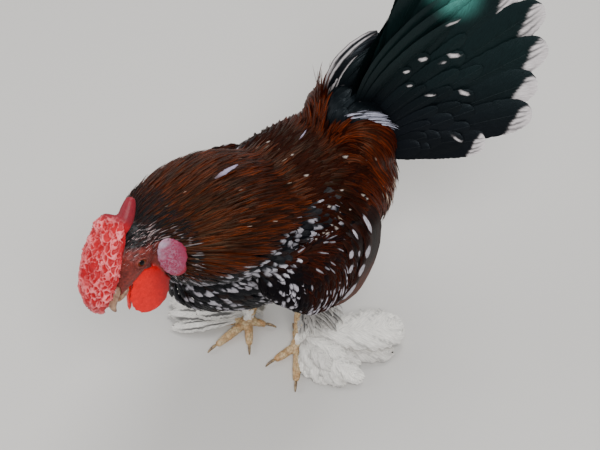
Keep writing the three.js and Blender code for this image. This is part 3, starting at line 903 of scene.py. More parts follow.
def hackle_paint(s, v, dice, places):
    edge = smooth_step(0.15, 0.95, np.abs(v))
    warm = mixed(HACKLE_RED, HACKLE_EDGE, dice[..., 0] ** 1.6 * 1.15)
    near_head = smooth_step(-122, -158, places[..., 0]) * (dice[..., 3] < 0.75)
    back = smooth_step(0, 40, places[..., 0]) * 0.75
    glow = (edge * (0.45 + 0.55 * s) * (0.35 + 0.7 * dice[..., 1]) + 0.08) * (1 - back)
    # Painted light and shade: the warm edges are dimmed in a band along the middle of the left side, and
    # brightened elsewhere.
    glow *= 1.2 - 0.5 * np.exp(-(((places[..., 1] + 25) / 14) ** 2))
    colour = mixed(HACKLE_CORE, warm, glow)
    colour = mixed(colour, NAPE_BLACK, near_head)
    spot = (dice[..., 2] < 0.025) * smooth_step(0.9, 0.95, s) * (np.abs(v) < 0.6)
    return mixed(colour, SPOT_WHITE, spot * 0.8)


hackle_material = plumage("hackle_vane", sweep=0.88, roughness=0.4, gloss=0.18, contrast=0.65,
                          tint=(1, 0.6, 0.35))
for side_name, side in SIDES.items():
    roots = sown(lambda p, owner: hackle_roots(p, owner) & (p[:, 1] * side > 0),
                 lambda p: np.interp(p[:, 0], [-157, -97, 3], [2.6, 3.5, 4.3]), seed=21 + side)
    x, count = roots[:, 0], len(roots)
    rng = np.random.default_rng(24 + side)
    length = np.interp(x, [-157, -127, -87, -17], [20, 38, 54, 58]) * varied(rng, count, 0.8, 1.15)
    width = np.interp(x, [-157, -107, -17], [1.3, 2.4, 3.1]) * varied(rng, count, 0.75, 1.2)
    depth = np.interp(x, [-157, -107], [1.5, 4.0])
    rise = varied(rng, count, 0.2, 2.6)
    lines, ups = laid(roots, hackle_lie, length, depth, rise, rows=9, hold=0.6, stand=0.35)
    kept = below_hem(lines[:, -1]) < varied(rng, count, -4, 7)
    half = width[kept, None] * spear(9, widest=0.45, tip=0.08)
    vanes("hackle_" + side_name, lines[kept], ups[kept], half, hackle_paint, hackle_material,
          "mahogany_feather", seed=27 + side, ragged=0.3)


# --- The breast and belly: spangled black feathers -------------------------------------
# Round-ended feathers, black with a blue cast. Many carry a broken white blotch at the
# tip. They run back under the hackle and the wings to the grey down of the vent.

BLOTCH_WHITE = tone(172, 168, 176)


def blotch(s, v, dice, share):
    """A broken pale patch near the tips of this share of the feathers."""
    size, width = 0.1 + 0.26 * dice[..., 1], 0.3 + 0.7 * dice[..., 3]
    off = ((s - 0.84) / size) ** 2 + ((v - 0.9 * (dice[..., 2] - 0.5)) / width) ** 2
    broken = np.sin(19 * s + 11 * v + 60 * dice[..., 1]) * np.sin(7 * s - 9 * v + 40 * dice[..., 2])
    return smooth_step(1.3, 0.6, off + 0.4 * broken) * (dice[..., 0] < share)


def breast_lie(p):
    under = smooth_step(-0.05, -0.7, form_normal[form.find_nearest(p)[2]].z)
    return Vector((1, 0, -0.45 * (1 - float(under))))


def breast_roots(p, owner):
    turn = np.abs(round_body(p))
    ahead = belongs(owner, "trunk", "neck") & (p[:, 0] < 15) & (below_hem(p) > -9)
    behind = belongs(owner, "trunk") & (p[:, 0] >= 15) & (turn > 78)
    return (ahead | behind) & ~bare_throat(in_head(p))


def breast_paint(s, v, dice, places):
    fluff = smooth_step(-7, 53, places[..., 0])
    black = mixed(SPANGLE_BLACK, DOWN_GREY * 0.3, fluff * dice[..., 3])
    black = mixed(black, MAHOGANY_DARK, (dice[..., 2] < 0.2) * 0.7 * (1 - fluff))
    pale = blotch(s, v, dice, 0.46 - 0.3 * fluff) * (0.55 + 0.45 * dice[..., 2])
    return mixed(black, BLOTCH_WHITE, pale)


breast_material = plumage("breast_vane", sweep=0.55, roughness=0.5, gloss=0.14, contrast=0.4)
roots = sown(breast_roots, 4.6, seed=31)
rng = np.random.default_rng(32)
length = np.interp(roots[:, 0], [-150, -110], [11, 18]) * varied(rng, len(roots), 0.85, 1.25)
rise = varied(rng, len(roots), 0, 1.5) * smooth_step(-14, 6, below_hem(roots))
lines, ups = laid(roots, breast_lie, length, 4.5, rise, rows=8, stand=0.1)
half = (0.22 * length * varied(rng, len(roots), 0.8, 1.15))[:, None] * spoon(8)
vanes("breast", lines, ups, half, breast_paint, breast_material, "black_green_feather", columns=5,
      arch=0.2, seed=33, ragged=0.3)


# --- The back and the wing bows: chocolate feathers flecked with white -----------------
# Small flat scales of feathers between hackle and saddle, and over each folded wing.
# On the wing they fan out and down from the shoulder.

FLECK_WHITE = tone(180, 170, 160)


def back_lie(p):
    return Vector((1, 0, -0.35 * min(abs(p.y) / 70, 1)))


def back_roots(p, owner):
    turn = np.abs(round_body(p))
    return belongs(owner, "trunk") & (p[:, 0] > -52) & (p[:, 0] < 62) & (turn < 92)


def back_paint(s, v, dice, places):
    edge = smooth_step(0.3, 1, np.abs(v))
    colour = mixed(CHOCOLATE, MAHOGANY, 0.3 + edge * dice[..., 1] * 0.6) * 0.4
    low = smooth_step(40, 62, np.abs(places[..., 1]))
    colour = mixed(colour, SPANGLE_BLACK, low * (dice[..., 2] < 0.12))
    size = 0.03 + 0.05 * dice[..., 3]
    fleck = smooth_step(1.3, 0.5, ((s - 0.9) / size) ** 2 + (v / 0.3) ** 2)
    return mixed(colour, FLECK_WHITE, fleck * (dice[..., 0] < 0.03 + 0.12 * low) * 0.9)


bow_material = plumage("wing_bow_vane", sweep=0.75, roughness=0.5, gloss=0.06, contrast=0.6,
                       tint=(1, 0.6, 0.4))
tract("back", back_roots, 3.6, 41, back_lie, spoon(9, tip=0.15), back_paint, bow_material,
      "mahogany_feather", length=(17, 28), depth=4.0, rise=(0, 1.6), half=(2.2, 3.4),
      stand=0.1, ragged=0.35)

# Seen from the side, the wing's feathers run down in arcs round the middle of its shield.
SHIELD_MIDDLE = (-28, 186)


def wing_lie(p):
    return Vector((p.z - SHIELD_MIDDLE[1] + 8, 0, -max(p.x - SHIELD_MIDDLE[0], 26)))


def wing_paint(s, v, dice, places):
    ahead = smooth_step(WING_FRONT + 18, WING_FRONT - 4, places[..., 0] + 18 * (dice[..., 3] - 0.5))
    ahead = ahead * smooth_step(214, 200, places[..., 2])
    colour = mixed(CHOCOLATE, MAHOGANY, smooth_step(0.3, 1, np.abs(v)) * dice[..., 1] * 0.9)
    colour = mixed(colour, SPANGLE_BLACK, np.maximum(ahead, (dice[..., 2] < 0.2) * 0.7))
    streak = (dice[..., 0] < 0.16) * smooth_step(0.45, 0.6, s) * smooth_step(0.3, 0.05, np.abs(v))
    low = smooth_step(176, 160, places[..., 2]) * smooth_step(20, 0, places[..., 0])
    spangle = blotch(s, v, dice, 0.4 * np.maximum(ahead, 0.8 * low))
    return mixed(colour, BLOTCH_WHITE, np.maximum(spangle, streak * 0.7 * (1 - ahead)))


for side_name, side in SIDES.items():
    tract("wing_bow_" + side_name, lambda p, owner: belongs(owner, "wing_" + side_name), 3.4,
          44 + side, wing_lie, spoon(9, tip=0.2), wing_paint, bow_material, "mahogany_feather",
          length=(13, 22), depth=3.0, rise=(0, 1.8),
          half=(0.75, 1.2, lambda p: np.interp(p[:, 0], [-70, -40, 0], [3.6, 3.4, 2.2])),
          step=3, stand=0.1, columns=5, ragged=0.35)


# --- The flight feathers: stiff quills folded under each wing --------------------------
# The secondaries fold round the back of the shield, dark brown above and chestnut at
# their tips. Coverts lie over them and end in white ovals, fewer on the right wing.

FLIGHT_BROWN, FLIGHT_CHESTNUT = tone(26, 12, 9), tone(96, 40, 14)
# The wing's outer edge: its turn round the shield's middle (degrees) and its reach.
FLIGHT_EDGE = np.array([
    (-84, 78), (-72, 90), (-60, 106), (-50, 112), (-40, 107),
    (-30, 101), (-15, 95), (0, 91), (20, 90), (40, 90),
])
FLIGHTS, FLIGHT_ROWS, WING_COVERT_ROWS = 7, 26, 30


def fanned(place, shares, reaches, side):
    """Middle lines over a fan, with normals away from the body. place(share, reach) is a point of it."""
    share, reach = np.broadcast_arrays(np.asarray(shares)[:, None], np.atleast_2d(reaches))
    step = 0.01
    du = place(share + step, reach) - place(share - step, reach)
    dv = place(share, reach + step) - place(share, reach - step)
    ups = np.cross(dv, du)
    ups /= np.linalg.norm(ups, axis=2)[..., None]
    return place(share, reach), ups * side * np.sign(ups[..., 1:2].mean())


def rolled(lines, ups, degrees):
    """The normals of feathers each turned about its line, with an edge over its neighbour."""
    forward = np.gradient(lines, axis=1)
    forward /= np.linalg.norm(forward, axis=2)[..., None]
    sideways = np.cross(forward, ups)
    return ups * math.cos(math.radians(degrees)) + sideways * math.sin(math.radians(degrees))


def wing_arcs(side):
    """A function for points of the folded wing: u runs from its middle to its edge, v down it."""
    def place(u, v):
        turn = 34 - 112 * v
        reach = u * np.interp(turn, FLIGHT_EDGE[:, 0], FLIGHT_EDGE[:, 1])
        x = SHIELD_MIDDLE[0] + reach * np.cos(np.radians(turn))
        z = SHIELD_MIDDLE[1] + reach * np.sin(np.radians(turn))
        bulge = 86 - 0.0016 * (x + 5) ** 2 - 0.0012 * (z - 160) ** 2
        bulge = bulge - 0.022 * np.maximum(0, z - 185) ** 2
        return np.stack([x, side * bulge, z], axis=-1)
    return place


def flight_paint(s, v, dice, places):
    low = smooth_step(150, 112, places[..., 2])
    colour = mixed(FLIGHT_BROWN, FLIGHT_CHESTNUT, low * 0.9 + 0.12 * dice[..., 1])
    # Painted shade darkens each vane's edges, where the feathers overlap; the darker shaft is their own.
    shaft, edge = smooth_step(0.2, 0.0, np.abs(v)), smooth_step(0.55, 1, np.abs(v))
    colour = mixed(colour, FLIGHT_BROWN * 0.5, np.maximum(0.5 * shaft, 0.8 * edge))
    return colour * (0.7 + 0.6 * dice[..., 2:3])


def covert_paint(s, v, dice, places):
    ragged = 0.12 * np.sin(23 * v + 9 * s + 30 * dice[..., 1])
    off = ((s - 0.77) / (0.17 + 0.06 * dice[..., 2])) ** 2 + (v / 0.72) ** 2
    colour = mixed(CHOCOLATE, MAHOGANY, smooth_step(0.6, 1, np.abs(v)) * 0.3)
    return mixed(colour, BLOTCH_WHITE, smooth_step(1.15, 0.85, off + ragged) * (dice[..., 0] < 0.93))


flight_material = plumage("flight_vane", sweep=0.6, roughness=0.5, gloss=0.14, contrast=0.35)
# Each covert: how far out, where its tip ends down the arc, its length and its half width.
COVERTS = np.array([
    (0.80, 0.30, 0.30, 3.2), (0.73, 0.50, 0.30, 5.6), (0.68, 0.645, 0.26, 5.8), (0.66, 0.84, 0.32, 6.0),
    (0.60, 1.0, 0.30, 6.2), (0.46, 0.36, 0.26, 4.2), (0.46, 0.58, 0.28, 4.2), (0.42, 0.74, 0.26, 2.4),
    (0.44, 0.97, 0.3, 5.0), (0.60, 0.24, 0.2, 2.0), (0.58, 0.42, 0.2, 1.8),
])
RIGHT_COVERTS_BELOW = 0.55  # the right wing is tucked closer, and hides the coverts above this
for side_name, side in SIDES.items():
    place = wing_arcs(side)
    shares = np.linspace(0.94, 0.62, FLIGHTS)
    along = np.linspace(0, 1, FLIGHT_ROWS)
    lines, ups = fanned(place, shares, np.linspace(0.80, 1.0, FLIGHTS)[:, None] * along, side)
    sunk = 9 * smooth_step(0.32, 0.1, along)
    lines = lines + ups * (0.5 * np.arange(FLIGHTS)[:, None] - sunk)[..., None]
    ups = rolled(lines, ups, -7 * side)
    half = 8.4 * spoon(FLIGHT_ROWS, widest=0.6, tip=0.3, root=0.5)
    vanes("flights_" + side_name, lines, ups, half, flight_paint, flight_material, "mahogany_feather",
          columns=7, arch=0.12, thick=0.6, seed=61 + side, ragged=0.1,
          spots=in_row(0.1 + 0.8 * shares), patch=(0.05, 0.9), replaces=["wing_flights_" + side_name])

    shown = COVERTS if side < 0 else COVERTS[COVERTS[:, 1] > RIGHT_COVERTS_BELOW]
    shares, ends, spans, widths = shown.T
    back = np.linspace(1, 0, WING_COVERT_ROWS)
    lines, ups = fanned(place, shares, ends[:, None] - spans[:, None] * back, side)
    over = np.interp(shares, [0.4, 0.6, 0.8], [8.5, 6.6, 5.0])
    over = over[:, None] * smooth_step(-0.1, 0.5, np.linspace(0, 1, WING_COVERT_ROWS))
    half = widths[:, None] * spoon(WING_COVERT_ROWS, widest=0.72, tip=0.22)
    vanes("coverts_" + side_name, lines + ups * over[..., None], ups, half, covert_paint, bow_material,
          "mahogany_feather", columns=11, arch=0.15, thick=0.5, seed=63 + side, ragged=0.12,
          spots=in_row(0.05 + 0.9 * np.arange(len(shown)) / len(COVERTS)), patch=(0.05, 0.8))


# --- The saddle: long pointed feathers from the back down over the flanks ---------------
# Rust-brown with a dark middle. They leave the back towards the tail, then fall to each
# side in long arcs, and the last ones end in pale streaks over the thigh.

SADDLE_EDGE, SADDLE_RED, SADDLE_CORE = tone(112, 40, 10), tone(60, 16, 5), tone(10, 4, 3)


def saddle_hem(places):
    """How far a place is past the saddle's hem at the root of the tail."""
    return places[..., 0] - 66 - 0.9 * np.abs(places[..., 1])


def saddle_lie(p):
    aside = min(abs(p.y + 1) / 55, 1)
    fall = min(1, aside * (0.72 + 0.5 * float(smooth_step(43, 120, p.x))))
    sideways = 0.35 * math.copysign(fall, p.y + 1) * (1 - 0.5 * aside)
    return Vector((1.05 - fall, sideways, 0.12 - 1.1 * fall))


def saddle_roots(p, owner):
    turn = np.abs(round_body(p))
    rump = belongs(owner, "trunk", "tail_coverts") & (p[:, 0] > 6)
    return rump & (turn < 96) & (saddle_hem(p) < -4)


def saddle_paint(s, v, dice, places):
    edge = smooth_step(0.1, 0.9, np.abs(v))
    warm = mixed(SADDLE_RED, SADDLE_EDGE, dice[..., 0] ** 1.5 * 1.1)
    middle = smooth_step(15, 5, np.abs(places[..., 1] - 5)) * smooth_step(66, 48, places[..., 0])
    front = smooth_step(70, 36, places[..., 0])
    glow = edge * (0.5 + 0.5 * s) * (0.45 + 0.75 * dice[..., 1]) + 0.12
    colour = mixed(SADDLE_CORE, warm, glow * (1 - np.maximum(middle * 0.8, front * 0.85)))
    low = smooth_step(214, 200, places[..., 2]) * smooth_step(60, 78, places[..., 0])
    streak = smooth_step(0.72, 0.84, s) * smooth_step(0.8, 0.3, np.abs(v))
    return mixed(colour, SPOT_WHITE, streak * (dice[..., 2] < 0.02 + 0.3 * low))


saddle_material = plumage("saddle_vane", sweep=0.88, roughness=0.4, gloss=0.14, contrast=0.65,
                          tint=(1, 0.6, 0.35))
for side_name, side in SIDES.items():
    roots = sown(lambda p, owner: saddle_roots(p, owner) & (p[:, 1] * side > 0), 3.5, seed=71 + side)
    x, count = roots[:, 0], len(roots)
    rng = np.random.default_rng(74 + side)
    length = np.interp(x, [6, 60, 125], [34, 60, 50]) * varied(rng, count, 0.75, 1.15)
    flank = smooth_step(48, 84, x) * smooth_step(8, 34, np.abs(roots[:, 1]))
    rise = varied(rng, count, 0.4, 3.4) + 5 * flank
    stand = 0.45 + 0.35 * flank
    lines, ups = laid(roots, saddle_lie, length, 4.5, rise, rows=10, hold=0.55, stand=stand)
    kept = saddle_hem(lines[:, -1]) < varied(rng, count, -4, 6)
    half = varied(rng, count, 2.0, 3.1)[kept, None] * spear(10, widest=0.45, tip=0.08)
    vanes("saddle_" + side_name, lines[kept], ups[kept], half, saddle_paint, saddle_material,
          "mahogany_feather", seed=77 + side, ragged=0.3)


# --- The thighs and vent: soft loose down ----------------------------------------------
# Grey, white and black fluff that fills the space between belly, thighs and shanks.

def thigh_lie(p):
    return Vector((0.45, 0, -1))


def thigh_paint(s, v, dice, places):
    colour = mixed(DOWN_GREY, SPANGLE_BLACK, (dice[..., 0] < 0.4) * 0.85)
    return mixed(colour, BOOT_WHITE, (dice[..., 1] < 0.4) * (0.3 + 0.6 * s))


down_material = plumage("down_vane", sweep=0.5, roughness=0.75, gloss=0.2, contrast=0.3, sheen=0.1)
for side_name, side in SIDES.items():
    tract("thigh_down_" + side_name, lambda p, owner: belongs(owner, "thigh_" + side_name), 4.2,
          80 + side, thigh_lie, spoon(8, tip=0.12), thigh_paint, down_material, "white_feather",
          length=(15, 27), depth=3.5, rise=(0.4, 4.4), half=(2.2, 3.8),
          step=3, stand=0.5, draws=9000, ragged=0.5)


# --- The tail: a fan of broad feathers, long coverts and the sickles ---------------------
# Black, with a green gloss painted into the colour as a sheen. The fan's feathers end in white,
# and the coverts over its root carry small white marks. All grow from the stump of the tail.

TAIL_ROOT = np.array([100, -4, 240])
TAIL_SWING, TAIL_LENGTH = -12, 204
FAN_START, FAN_DROOP, SICKLE_DROOP = 14, 0.0005, 0.0004
FAN_ROWS, COVERT_ROWS, SICKLE_ROWS = 64, 36, 26
TIERS, PER_TIER = 3, 9  # of the long coverts
# Each fan feather's place, from 0 at the top to 1 for the lowest, outermost one.
FAN_SHARES = np.array([-0.12, 0.02, 0.15, 0.27, 0.39, 0.53, 0.66, 0.80, 0.92])
# Each sickle's rise, drop and swing (degrees), length and half width.
SICKLES = [(80, 26, 4, 178, 13), (74, 18, 7, 152, 13), (67, 14, 10, 136, 12)]
TAIL_WHITE, TAIL_GREEN_SHEEN = tone(206, 198, 198), tone(76, 142, 132)


def from_tail_root(rise, spread, reach, droop=0.0, u=0.0, side=0):
    """A point of the tail by its rise and spread (degrees) and its reach from the root.

    Low outer feathers, with u near 1, grow wider from the middle."""
    turn = np.radians(spread + TAIL_SWING)
    flat = reach * np.cos(np.radians(rise))
    x = TAIL_ROOT[0] - 8 * u + flat * np.cos(turn)
    y = TAIL_ROOT[1] + side * 32 * u + flat * np.sin(turn)
    z = TAIL_ROOT[2] - 20 * u + reach * np.sin(np.radians(rise)) - droop * reach**2
    return np.stack([x, y, z], axis=-1)


def toward_tip(share):
    """How far out along a fan feather each row lies. The rows crowd towards the tip."""
    return 1 - (1 - share) ** 1.5


def tail_fan(side):
    """A function for points of one side's fan: u runs from its top to its lowest feather, v outward."""
    def place(u, v):
        longest = np.interp(u, [-0.2, 0, 0.27, 0.39, 0.53, 0.66, 0.8, 0.92, 1],
                            [0.88, 0.97, 1.04, 1.09, 0.99, 0.86, 0.78, 0.53, 0.42])
        reach = FAN_START + (TAIL_LENGTH * longest - FAN_START) * v
        spread = side * (2 + 34 * np.maximum(u, 0) ** 0.8)
        points = from_tail_root(66 - 49 * u, spread, reach, FAN_DROOP, u, side)
        points[..., 1] += side * (2 + 5 * v * (1 - u))
        return points
    return place


def painted_green_sheen(colour, places, dice):
    """Paints the green sheen along the upper feathers into their colour, brightest in one streaked patch
    and weaker on the right side.
    """
    off = places[..., [0, 2]] - np.array([174, 374])
    away = np.hypot(off @ np.array([0.4, 0.92]) / 1.3, off @ np.array([0.92, -0.4]))
    patch = smooth_step(24, 3, away) ** 1.5 * (0.4 + 0.6 * dice[..., 2])
    patch = patch * (1 - 0.75 * smooth_step(-18, -10, places[..., 1]))
    return mixed(colour, TAIL_GREEN_SHEEN, 0.03 * smooth_step(250, 340, places[..., 2]) + patch)


def fan_paint(side):
    """Black, with a white tip that reaches further in along the lower edge."""
    def paint(s, v, dice, places):
        s, v = toward_tip(s), -side * v
        black = mixed(TAIL_BLACK, TAIL_BLACK * 0.5, smooth_step(0.2, 0, np.abs(v)) * 0.6)
        colour = painted_green_sheen(black, places, dice)
        slant = s + (0.09 + 0.06 * dice[..., 0]) * v + 0.006 * np.sin(9 * v + 20 * dice[..., 2])
        streaks = np.sin(21 * v + 9 * dice[..., 3]) + 0.6 * np.sin(37 * v + 5 * s + 9 * dice[..., 2])
        dark = smooth_step(0.5, 0.8, streaks) * smooth_step(1.02, 0.93, s + 0.06 * v)
        return mixed(colour, TAIL_WHITE, smooth_step(0.892, 0.918, slant) * (1 - 0.8 * dark))
    return paint


def mark_paint(share):
    """Black coverts. This share of them have a small white mark by the tip."""
    def paint(s, v, dice, places):
        colour = painted_green_sheen(np.broadcast_to(TAIL_BLACK, s.shape + (3,)), places, dice)
        colour = colour * (0.7 + 0.6 * dice[..., 3:4])
        aside = v - dice[..., 2] + 0.5 - 9 * (s - 0.93)
        off = ((s - 0.93) / (0.015 + 0.03 * dice[..., 1])) ** 2 + (aside / 0.22) ** 2
        return mixed(colour, TAIL_WHITE, smooth_step(1.3, 0.6, off) * (dice[..., 0] < share))
    return paint


tail_material = plumage("tail_vane", sweep=0.62, roughness=0.38, gloss=0.14, contrast=0.35,
                        tint=(0.75, 0.9, 1))
for side_name, side in SIDES.items():
    place = tail_fan(side)
    rng = np.random.default_rng(90 + side)
    along = np.linspace(0, 1, FAN_ROWS)
    lines, ups = fanned(place, FAN_SHARES, toward_tip(along), side)
    lines = lines + ups * (0.9 * (np.arange(len(FAN_SHARES)) % 2 - 0.5))[:, None, None]
    ups = rolled(lines, ups, -6 * side)
    half = np.interp(FAN_SHARES, [-0.12, 0, 0.7, 1], [15, 20, 19, 14])[:, None]
    outline = spoon(FAN_ROWS, widest=0.8, tip=0.15, root=0.3)
    half = half * np.interp(toward_tip(along), along, outline)
    vanes("tail_fan_" + side_name, lines, ups, half, fan_paint(side), tail_material,
          "black_green_feather", columns=19, arch=0.08, thick=0.7, seed=93 + side, ragged=0.05,
          spots=in_row(0.17 + 0.82 * FAN_SHARES), patch=(0.08, 0.95), replaces=["tail_" + side_name])

    # Long coverts lie on the fan in three tiers, each shorter and further out than the last.
    count = TIERS * PER_TIER
    number, tier = np.arange(count), np.repeat(np.arange(TIERS), PER_TIER)
    along = np.linspace(0, 1, COVERT_ROWS)
    shares = (number % PER_TIER + 0.5 + 0.3 * (tier % 2)) / 9.4 + rng.uniform(-0.02, 0.02, count)
    share_of_fan = np.array([0.66, 0.48, 0.34])[tier] * varied(rng, count, 0.86, 1.1)
    steps = share_of_fan[:, None] * np.linspace(-0.05, 1, COVERT_ROWS)
    lines, ups = fanned(place, shares, steps, side)
    lines = lines + ups * (2.2 + 2.2 * tier[:, None] + 1.5 * along)[..., None]
    ups = rolled(lines, ups, -9 * side)
    half = (np.array([12, 10.5, 9])[tier] * varied(rng, count, 0.7, 1.1))[:, None]
    half = half * spoon(COVERT_ROWS, widest=0.66, tip=0.2, root=0.3)
    vanes("tail_long_coverts_" + side_name, lines, ups, half, mark_paint(0.36), tail_material,
          "black_green_feather", columns=9, arch=0.06, thick=0.6, seed=95 + side, ragged=0.08,
          spots=in_row(0.02 + 0.96 * number / count), patch=(0.03, 0.95), cupped=0.1)

    # A great sickle and two lesser ones beside it.
    rises, drops, swings, lengths, widths = np.array(SICKLES).T[..., None]
    along = np.linspace(0, 1, SICKLE_ROWS)
    lines = from_tail_root(rises - drops * along, side * swings, 22 + lengths * along, SICKLE_DROOP)
    lines = lines + np.array([-12, 0, -2])
    lines[..., 1] += side * (3 + 8 * along)
    ups = np.broadcast_to(Vector((-0.15, side, 0.1)).normalized(), lines.shape)
    half = widths * spoon(SICKLE_ROWS, widest=0.4, tip=0.1, root=0.3)
    vanes("sickles_" + side_name, lines, ups, half, mark_paint(0.15), tail_material,
          "black_green_feather", columns=7, arch=0.12, thick=0.6, seed=97 + side, ragged=0.06,
          spots=in_row(0.2 + 0.3 * np.arange(len(SICKLES))), patch=(0.2, 0.95),
          replaces=["sickle_" + side_name])


def tail_lie(p):
    return (p - Vector((66, -3, 205))).normalized() + Vector((0.6, -0.12, 0.15))


def tail_covert_roots(p, owner):
    return belongs(owner, "tail_coverts", "trunk") & (saddle_hem(p) > -10) & (p[:, 2] > 200)


tract("tail_root_coverts", tail_covert_roots, 6.0, 101, tail_lie, spoon(14, widest=0.6, tip=0.2),
      mark_paint(0.14), tail_material, "black_green_feather",
      length=(0.8, 1.15, lambda p: np.interp(saddle_hem(p), [-10, 20], [34, 58])),
      depth=4.0, rise=(0.5, 4), half=(5.5, 7.5), hold=0.75, stand=0.9, draws=9000,
      columns=5, arch=0.15, thick=0.5, ragged=0.15)


# --- Down at the tail's root, and a few odd feathers ----------------------------------
# Grey-white down shows between the saddle and the tail. A rust tuft and coverts streaked
# with white stand up on its right, and pale feathers lie loose on the neck and the back.

ROOT_DOWN_PALE, ROOT_DOWN_DARK = tone(172, 172, 188), tone(30, 26, 30)
LOOSE_PALE, LOOSE_GREY = tone(150, 140, 164), tone(92, 78, 84)


def root_down_roots(p, owner):
    at_hem = belongs(owner, "tail_coverts", "trunk") & (np.abs(saddle_hem(p)) < 2.6)
    return at_hem & (p[:, 1] < -7) & (p[:, 1] > -34)


def root_down_paint(s, v, dice, places):
    brighter = smooth_step(-10, -30, places[..., 1])
    dark = smooth_step(0.3, 0.9, dice[..., 0]) * (1.3 - 0.5 * brighter)
    return mixed(ROOT_DOWN_PALE, ROOT_DOWN_DARK, dark)


def root_down_lie(p):
    return Vector((0.75, -0.65, -0.15))


tract("tail_root_down", root_down_roots, 2.2, 104, root_down_lie, spear(8), root_down_paint,
      down_material, "white_feather", length=(12, 32), depth=1.0, rise=(5, 10), half=(0.5, 1.3),
      hold=0.7, stand=0.8, draws=6000, ragged=0.5)


def tuft_paint(s, v, dice, places):
    return mixed(SADDLE_CORE, SADDLE_EDGE, 0.3 + 0.6 * s * dice[..., 0])


def curled(base, rise, spread, length, curl, rows=16):
    """Middle lines of feathers that leave their bases upright and curl over outward (degrees)."""
    s = np.linspace(0, 1, rows)
    tilt = np.radians(rise[:, None] - curl[:, None] * s)
    turn = np.radians(spread)[:, None]
    step = length[:, None] / (rows - 1)
    way = np.stack([np.cos(tilt) * np.cos(turn), np.cos(tilt) * np.sin(turn), np.sin(tilt)], axis=-1)
    return base[:, None] + np.cumsum(way * step[..., None], axis=1)


rng = np.random.default_rng(107)
count = 40
base = np.column_stack([varied(rng, count, *limits) for limits in ((80, 96), (22, 36), (234, 244))])
rise, spread, length, curl = (
    varied(rng, count, *limits) for limits in ((92, 106), (-20, 20), (28, 52), (0, 40))
)
lines = curled(base, rise, spread, length, curl, rows=10)
ups = np.broadcast_to(Vector((-0.8, 0.5, 0.3)).normalized(), lines.shape)
half = varied(rng, count, 1.6, 2.8)[:, None] * spear(10, widest=0.45, tip=0.08)
vanes("saddle_tuft", lines, ups, half, tuft_paint, saddle_material, "mahogany_feather",
      seed=108, ragged=0.4)


def curled_paint(s, v, dice, places):
    streaks = smooth_step(0, 0.5, np.sin(7 * v + 2 * s + 9 * dice[..., 1]))
    white = streaks * smooth_step(0.15, 0.4, s) * smooth_step(1.0, 0.85, s) * (dice[..., 2] < 0.8)
    return mixed(TAIL_BLACK, TAIL_WHITE, 0.85 * white)


# Each sheaf's count, its first and last base, their lengths, the half widths and the paint.
SHEAVES = {
    "outer": (10, (86, 29, 235), (93, 22, 238), (104, 96), (4.0, 5.6), curled_paint),
    "inner": (26, (91, 23, 236), (108, 8, 240), (95, 62), (5.2, 7.0), mark_paint(0.35)),
}
for name, (count, first, last, lengths, widths, paint) in SHEAVES.items():
    base = np.linspace(first, last, count) + varied(rng, (count, 1), -1, 1)
    lines = curled(base, varied(rng, count, 103, 108), varied(rng, count, -18, -8),
                   np.linspace(*lengths, count) + 4 * rng.random(count), varied(rng, count, 100, 108))
    ups = np.broadcast_to(Vector((-0.6, -0.35, 0.5)).normalized(), lines.shape)
    half = varied(rng, count, *widths)[:, None] * spoon(16, widest=0.6, tip=0.25)
    vanes("tail_curled_coverts_" + name, lines, ups, half, paint, tail_material, "black_green_feather",
          columns=7, arch=0.2, thick=0.5, seed=109, ragged=0.2)


def loose_paint(s, v, dice, places):
    return mixed(LOOSE_PALE, LOOSE_GREY, smooth_step(0.5, 0, s) + 0.4 * np.abs(v))


on_neck, on_back = form.find_nearest(Vector((-71, -1, 268)))[0], Vector((36, 8, 246))
lines, ups = laid([on_neck, on_back], hackle_lie, np.array([23, 9]), 1.0, 5.0, rows=12, stand=0.8)
half = np.array([[2.9], [1.1]]) * spoon(12, widest=0.5, tip=0.2)
vanes("loose_feathers", lines + ups * 2.6, ups, half, loose_paint, down_material, "white_feather",
      columns=9, seed=110, ragged=0.5, frayed=5)


# --- The boots: white feathers down the outer side of each shank and toe ---------------
# Soft vanes clothe the shank from the hock, flecked with black. Broader stiff ones stand
# out from the ankle and over the outer toe, clear of the floor.

FLECK_BLACK = tone(26, 26, 30)
FEET = {"left": ((4, -36), 46), "right": ((-16, 22), 4)}  # each ankle's place and the foot's turn
# Each stiff vane's turn from the middle toe, length, half width and height over the floor.
BOOT_VANES = {
    "left": [
        (14, 40, 11, 7), (25, 50, 14, 8), (38, 60, 15, 9), (48, 68, 13, 11),
        (60, 58, 12, 12), (78, 88, 15, 8), (86, 86, 17, 12), (93, 96, 26, 20),
        (18, 30, 10, 15), (36, 40, 12, 17), (56, 42, 11, 19),
    ],
    "right": [
        (28, 74, 9, 6), (40, 80, 11, 8), (50, 82, 10, 9), (60, 80, 11, 10),
        (70, 84, 10, 11), (80, 86, 12, 12), (90, 82, 10, 14), (100, 76, 9, 16),
        (36, 50, 9, 16), (56, 56, 9, 18), (76, 58, 9, 20), (94, 52, 8, 22),
    ],
}


def leg_points(side_name, ahead, out, height):
    """Places so far ahead of the ankle, outward from it and up."""
    (x, y), turn = FEET[side_name]
    turn = math.radians(turn)
    u, w = -np.asarray(ahead, float), SIDES[side_name] * np.asarray(out, float)
    return np.stack([
        x + u * math.cos(turn) - w * math.sin(turn),
        y + u * math.sin(turn) + w * math.cos(turn),
        np.broadcast_to(height, u.shape),
    ], axis=-1)


def boot_paint(s, v, dice, places):
    high = smooth_step(16, 36, places[..., 2])
    fleck = smooth_step(1, 0.5, np.abs(v)) * smooth_step(0.05, 0.25, s)
    fleck *= dice[..., 0] < 0.08 + 0.45 * high
    # Painted shade: the plumes grow greyer towards the top of the shank. The black flecks there are
    # their own.
    colour = mixed(BOOT_WHITE, DOWN_GREY, 0.25 * dice[..., 1] + 0.5 * high)
    return mixed(colour, FLECK_BLACK, fleck * (0.2 + 0.75 * high))


